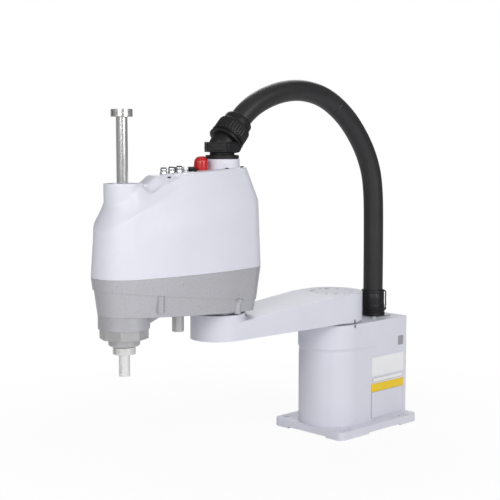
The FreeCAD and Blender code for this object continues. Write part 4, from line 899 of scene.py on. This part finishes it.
class ROBOT_OT_hose(bpy.types.Operator):
    """Make the cable hose in two runs that meet over the first arm"""
    bl_idname = "robot.hose"
    bl_label = "Cable hose"

    def execute(self, context):
        line = hose_line()
        middle = int(np.argmin(np.linalg.norm(line - np.array(HOSE_MIDDLE), axis=1)))
        runs = (("hose_upper_run", line[:middle + 1], "hose_upper", "arm1", "arm2",
                 (0.02, 0.0, 0.69), (0.272, 0.0, 0.642)),
                ("hose_lower_run", line[middle:], "hose_lower", "base", "arm1",
                 (-0.115, 0.018, 0.30), (-0.05, 0.012, 0.66)))
        for name, points, node, first, second, start, end in runs:
            verts, faces, way = sweep_tube(points, HOSE_RADIUS)
            mesh = mesh_from(name, verts, faces)
            lengthwise = mesh.attributes.new("hose_way", "FLOAT_VECTOR", "POINT")
            lengthwise.data.foreach_set("vector", np.asarray(way, np.float32).ravel())
            piece = make_piece(name, mesh, None, "hose_rubber")
            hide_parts(node)
            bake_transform(piece)
        return {"FINISHED"}


class ROBOT_OT_studio(bpy.types.Operator):
    """Set the camera, the soft lights, the pale floor and the backdrop"""
    bl_idname = "robot.studio"
    bl_label = "Studio"

    def execute(self, context):
        look = context.scene.robot_look
        scene = context.scene
        scene.view_settings.view_transform = "Standard"
        scene.camera = photo_camera()
        floor = bpy.data.objects.new("studio_floor", floor_mesh(look.floor_size))
        scene.collection.objects.link(floor)
        floor.data.materials.append(floor_finish())
        studio_lights(look.lamp_power)
        scene.world = studio_world()
        return {"FINISHED"}


def photo_camera():
    """The camera at the photograph's viewing angle."""
    data = bpy.data.cameras.new("photo_camera")
    data.lens = 80.135
    data.sensor_width = 36.0
    camera = bpy.data.objects.new("photo_camera", data)
    turn = math.radians(45.7646)
    dip = math.radians(5.68532)
    ahead = Vector((-math.cos(turn) * math.cos(dip), -math.sin(turn) * math.cos(dip), -math.sin(dip)))
    camera.rotation_euler = ahead.to_track_quat("-Z", "Y").to_euler()
    camera.location = (1.74533, 1.54648, 0.61005)
    bpy.context.scene.collection.objects.link(camera)
    return camera


def studio_lights(power):
    """Soft lights round the robot, each with its place and size in metres and its share of the power."""
    centre = Vector((0.22, 0.0, 0.36))
    for name, place, size, share in (
            ("key_light", (2.26, 1.18, 1.46), 1.5, 0.82), ("side_light", (0.22, 2.36, 1.46), 1.6, 1.12),
            ("edge_light", (2.58, 0.0, 1.46), 1.0, 0.3), ("top_light", (0.3, 0.2, 2.9), 1.8, 0.1),
            ("rear_light", (-1.29, -1.51, 1.85), 1.6, 0.8)):
        lamp = bpy.data.lights.new(name, "AREA")
        lamp.energy = power * share
        lamp.size = size
        holder = bpy.data.objects.new(name, lamp)
        holder.location = place
        holder.rotation_euler = (centre - Vector(place)).to_track_quat("-Z", "Y").to_euler()
        bpy.context.scene.collection.objects.link(holder)


def studio_world():
    """A dim, cool world that reads as white to the camera."""
    world = bpy.data.worlds.new("studio_world")
    world.use_nodes = True
    nodes = world.node_tree.nodes
    links = world.node_tree.links
    plain = nodes["Background"]
    plain.inputs["Color"].default_value = (0.93, 0.94, 1.0, 1.0)
    plain.inputs["Strength"].default_value = 0.13
    white = nodes.new("ShaderNodeBackground")
    white.inputs["Color"].default_value = (1.0, 1.0, 1.0, 1.0)
    white.inputs["Strength"].default_value = 1.0
    mix = nodes.new("ShaderNodeMixShader")
    links.new(background_rays(nodes, links), mix.inputs[0])
    links.new(plain.outputs[0], mix.inputs[1])
    links.new(white.outputs[0], mix.inputs[2])
    links.new(mix.outputs[0], nodes["World Output"].inputs["Surface"])
    return world


def background_rays(nodes, links):
    """One for camera and see-through rays, and a small part of it for reflected ones."""
    gloss_share = 0.15
    ray = nodes.new("ShaderNodeLightPath")
    some = nodes.new("ShaderNodeMath")
    some.operation = "MULTIPLY"
    some.inputs[1].default_value = gloss_share
    links.new(ray.outputs["Is Glossy Ray"], some.inputs[0])
    total = some.outputs[0]
    for name in ("Is Camera Ray", "Is Transmission Ray"):
        most = nodes.new("ShaderNodeMath")
        most.operation = "MAXIMUM"
        links.new(total, most.inputs[0])
        links.new(ray.outputs[name], most.inputs[1])
        total = most.outputs[0]
    return total


def floor_mesh(size):
    """A square floor round the origin."""
    half = size / 2
    return mesh_from("studio_floor", [(-half, -half, 0), (half, -half, 0), (half, half, 0), (-half, half, 0)],
                     [(0, 1, 2, 3)], smooth=False)


def floor_finish():
    """Pale floor that reads as white to the camera, and keeps the shadow near the robot's foot."""
    foot = (0.15, 0.0, 0.0)
    near = 0.25
    far = 0.9
    material, nodes, links, shader = new_finish("studio_floor")
    where = object_space(nodes, links)
    cloud = grain(nodes, links, where, 3.0, 2.0)
    links.new(tint(nodes, links, cloud, (0.9, 0.9, 0.91), (0.94, 0.94, 0.95)), shader.inputs["Base Color"])
    shader.inputs["Roughness"].default_value = 0.9
    glow = nodes.new("ShaderNodeEmission")
    glow.inputs["Color"].default_value = (1.0, 1.0, 1.0, 1.0)
    away = nodes.new("ShaderNodeVectorMath")
    away.operation = "DISTANCE"
    away.inputs[1].default_value = foot
    links.new(where, away.inputs[0])
    rise = spread(nodes, links, away.outputs["Value"], 0.92, 1.0, near, far)
    share = nodes.new("ShaderNodeMath")
    share.operation = "MULTIPLY"
    links.new(rise, share.inputs[1])
    links.new(background_rays(nodes, links), share.inputs[0])
    mix = nodes.new("ShaderNodeMixShader")
    links.new(share.outputs[0], mix.inputs[0])
    links.new(shader.outputs[0], mix.inputs[1])
    links.new(glow.outputs[0], mix.inputs[2])
    links.new(mix.outputs[0], nodes["Material Output"].inputs["Surface"])
    return material


OPERATORS = (ROBOT_OT_studio, ROBOT_OT_finishes, ROBOT_OT_hose, ROBOT_OT_cover, ROBOT_OT_castings,
             ROBOT_OT_fittings, ROBOT_OT_outlet, ROBOT_OT_conduit, ROBOT_OT_platform, ROBOT_OT_marks,
             ROBOT_OT_screws)


class ROBOT_PT_panel(bpy.types.Panel):
    """Lists the dressing steps and their settings"""
    bl_label = "SCARA robot"
    bl_idname = "ROBOT_PT_panel"
    bl_space_type = "VIEW_3D"
    bl_region_type = "UI"
    bl_category = "Robot"

    def draw(self, context):
        look = context.scene.robot_look
        for prop in RobotLook.__annotations__:
            self.layout.prop(look, prop)
        for operator in OPERATORS:
            self.layout.operator(operator.bl_idname)


CLASSES = (RobotLook, *OPERATORS, ROBOT_PT_panel)


def register():
    for cls in CLASSES:
        bpy.utils.register_class(cls)
    bpy.types.Scene.robot_look = bpy.props.PointerProperty(type=RobotLook)


def unregister():
    del bpy.types.Scene.robot_look
    for cls in reversed(CLASSES):
        bpy.utils.unregister_class(cls)


def main():
    """Register the steps and run them in order."""
    register()
    for operator in OPERATORS:
        group, name = operator.bl_idname.split(".")
        getattr(getattr(bpy.ops, group), name)()


if __name__ == "__main__":
    main()
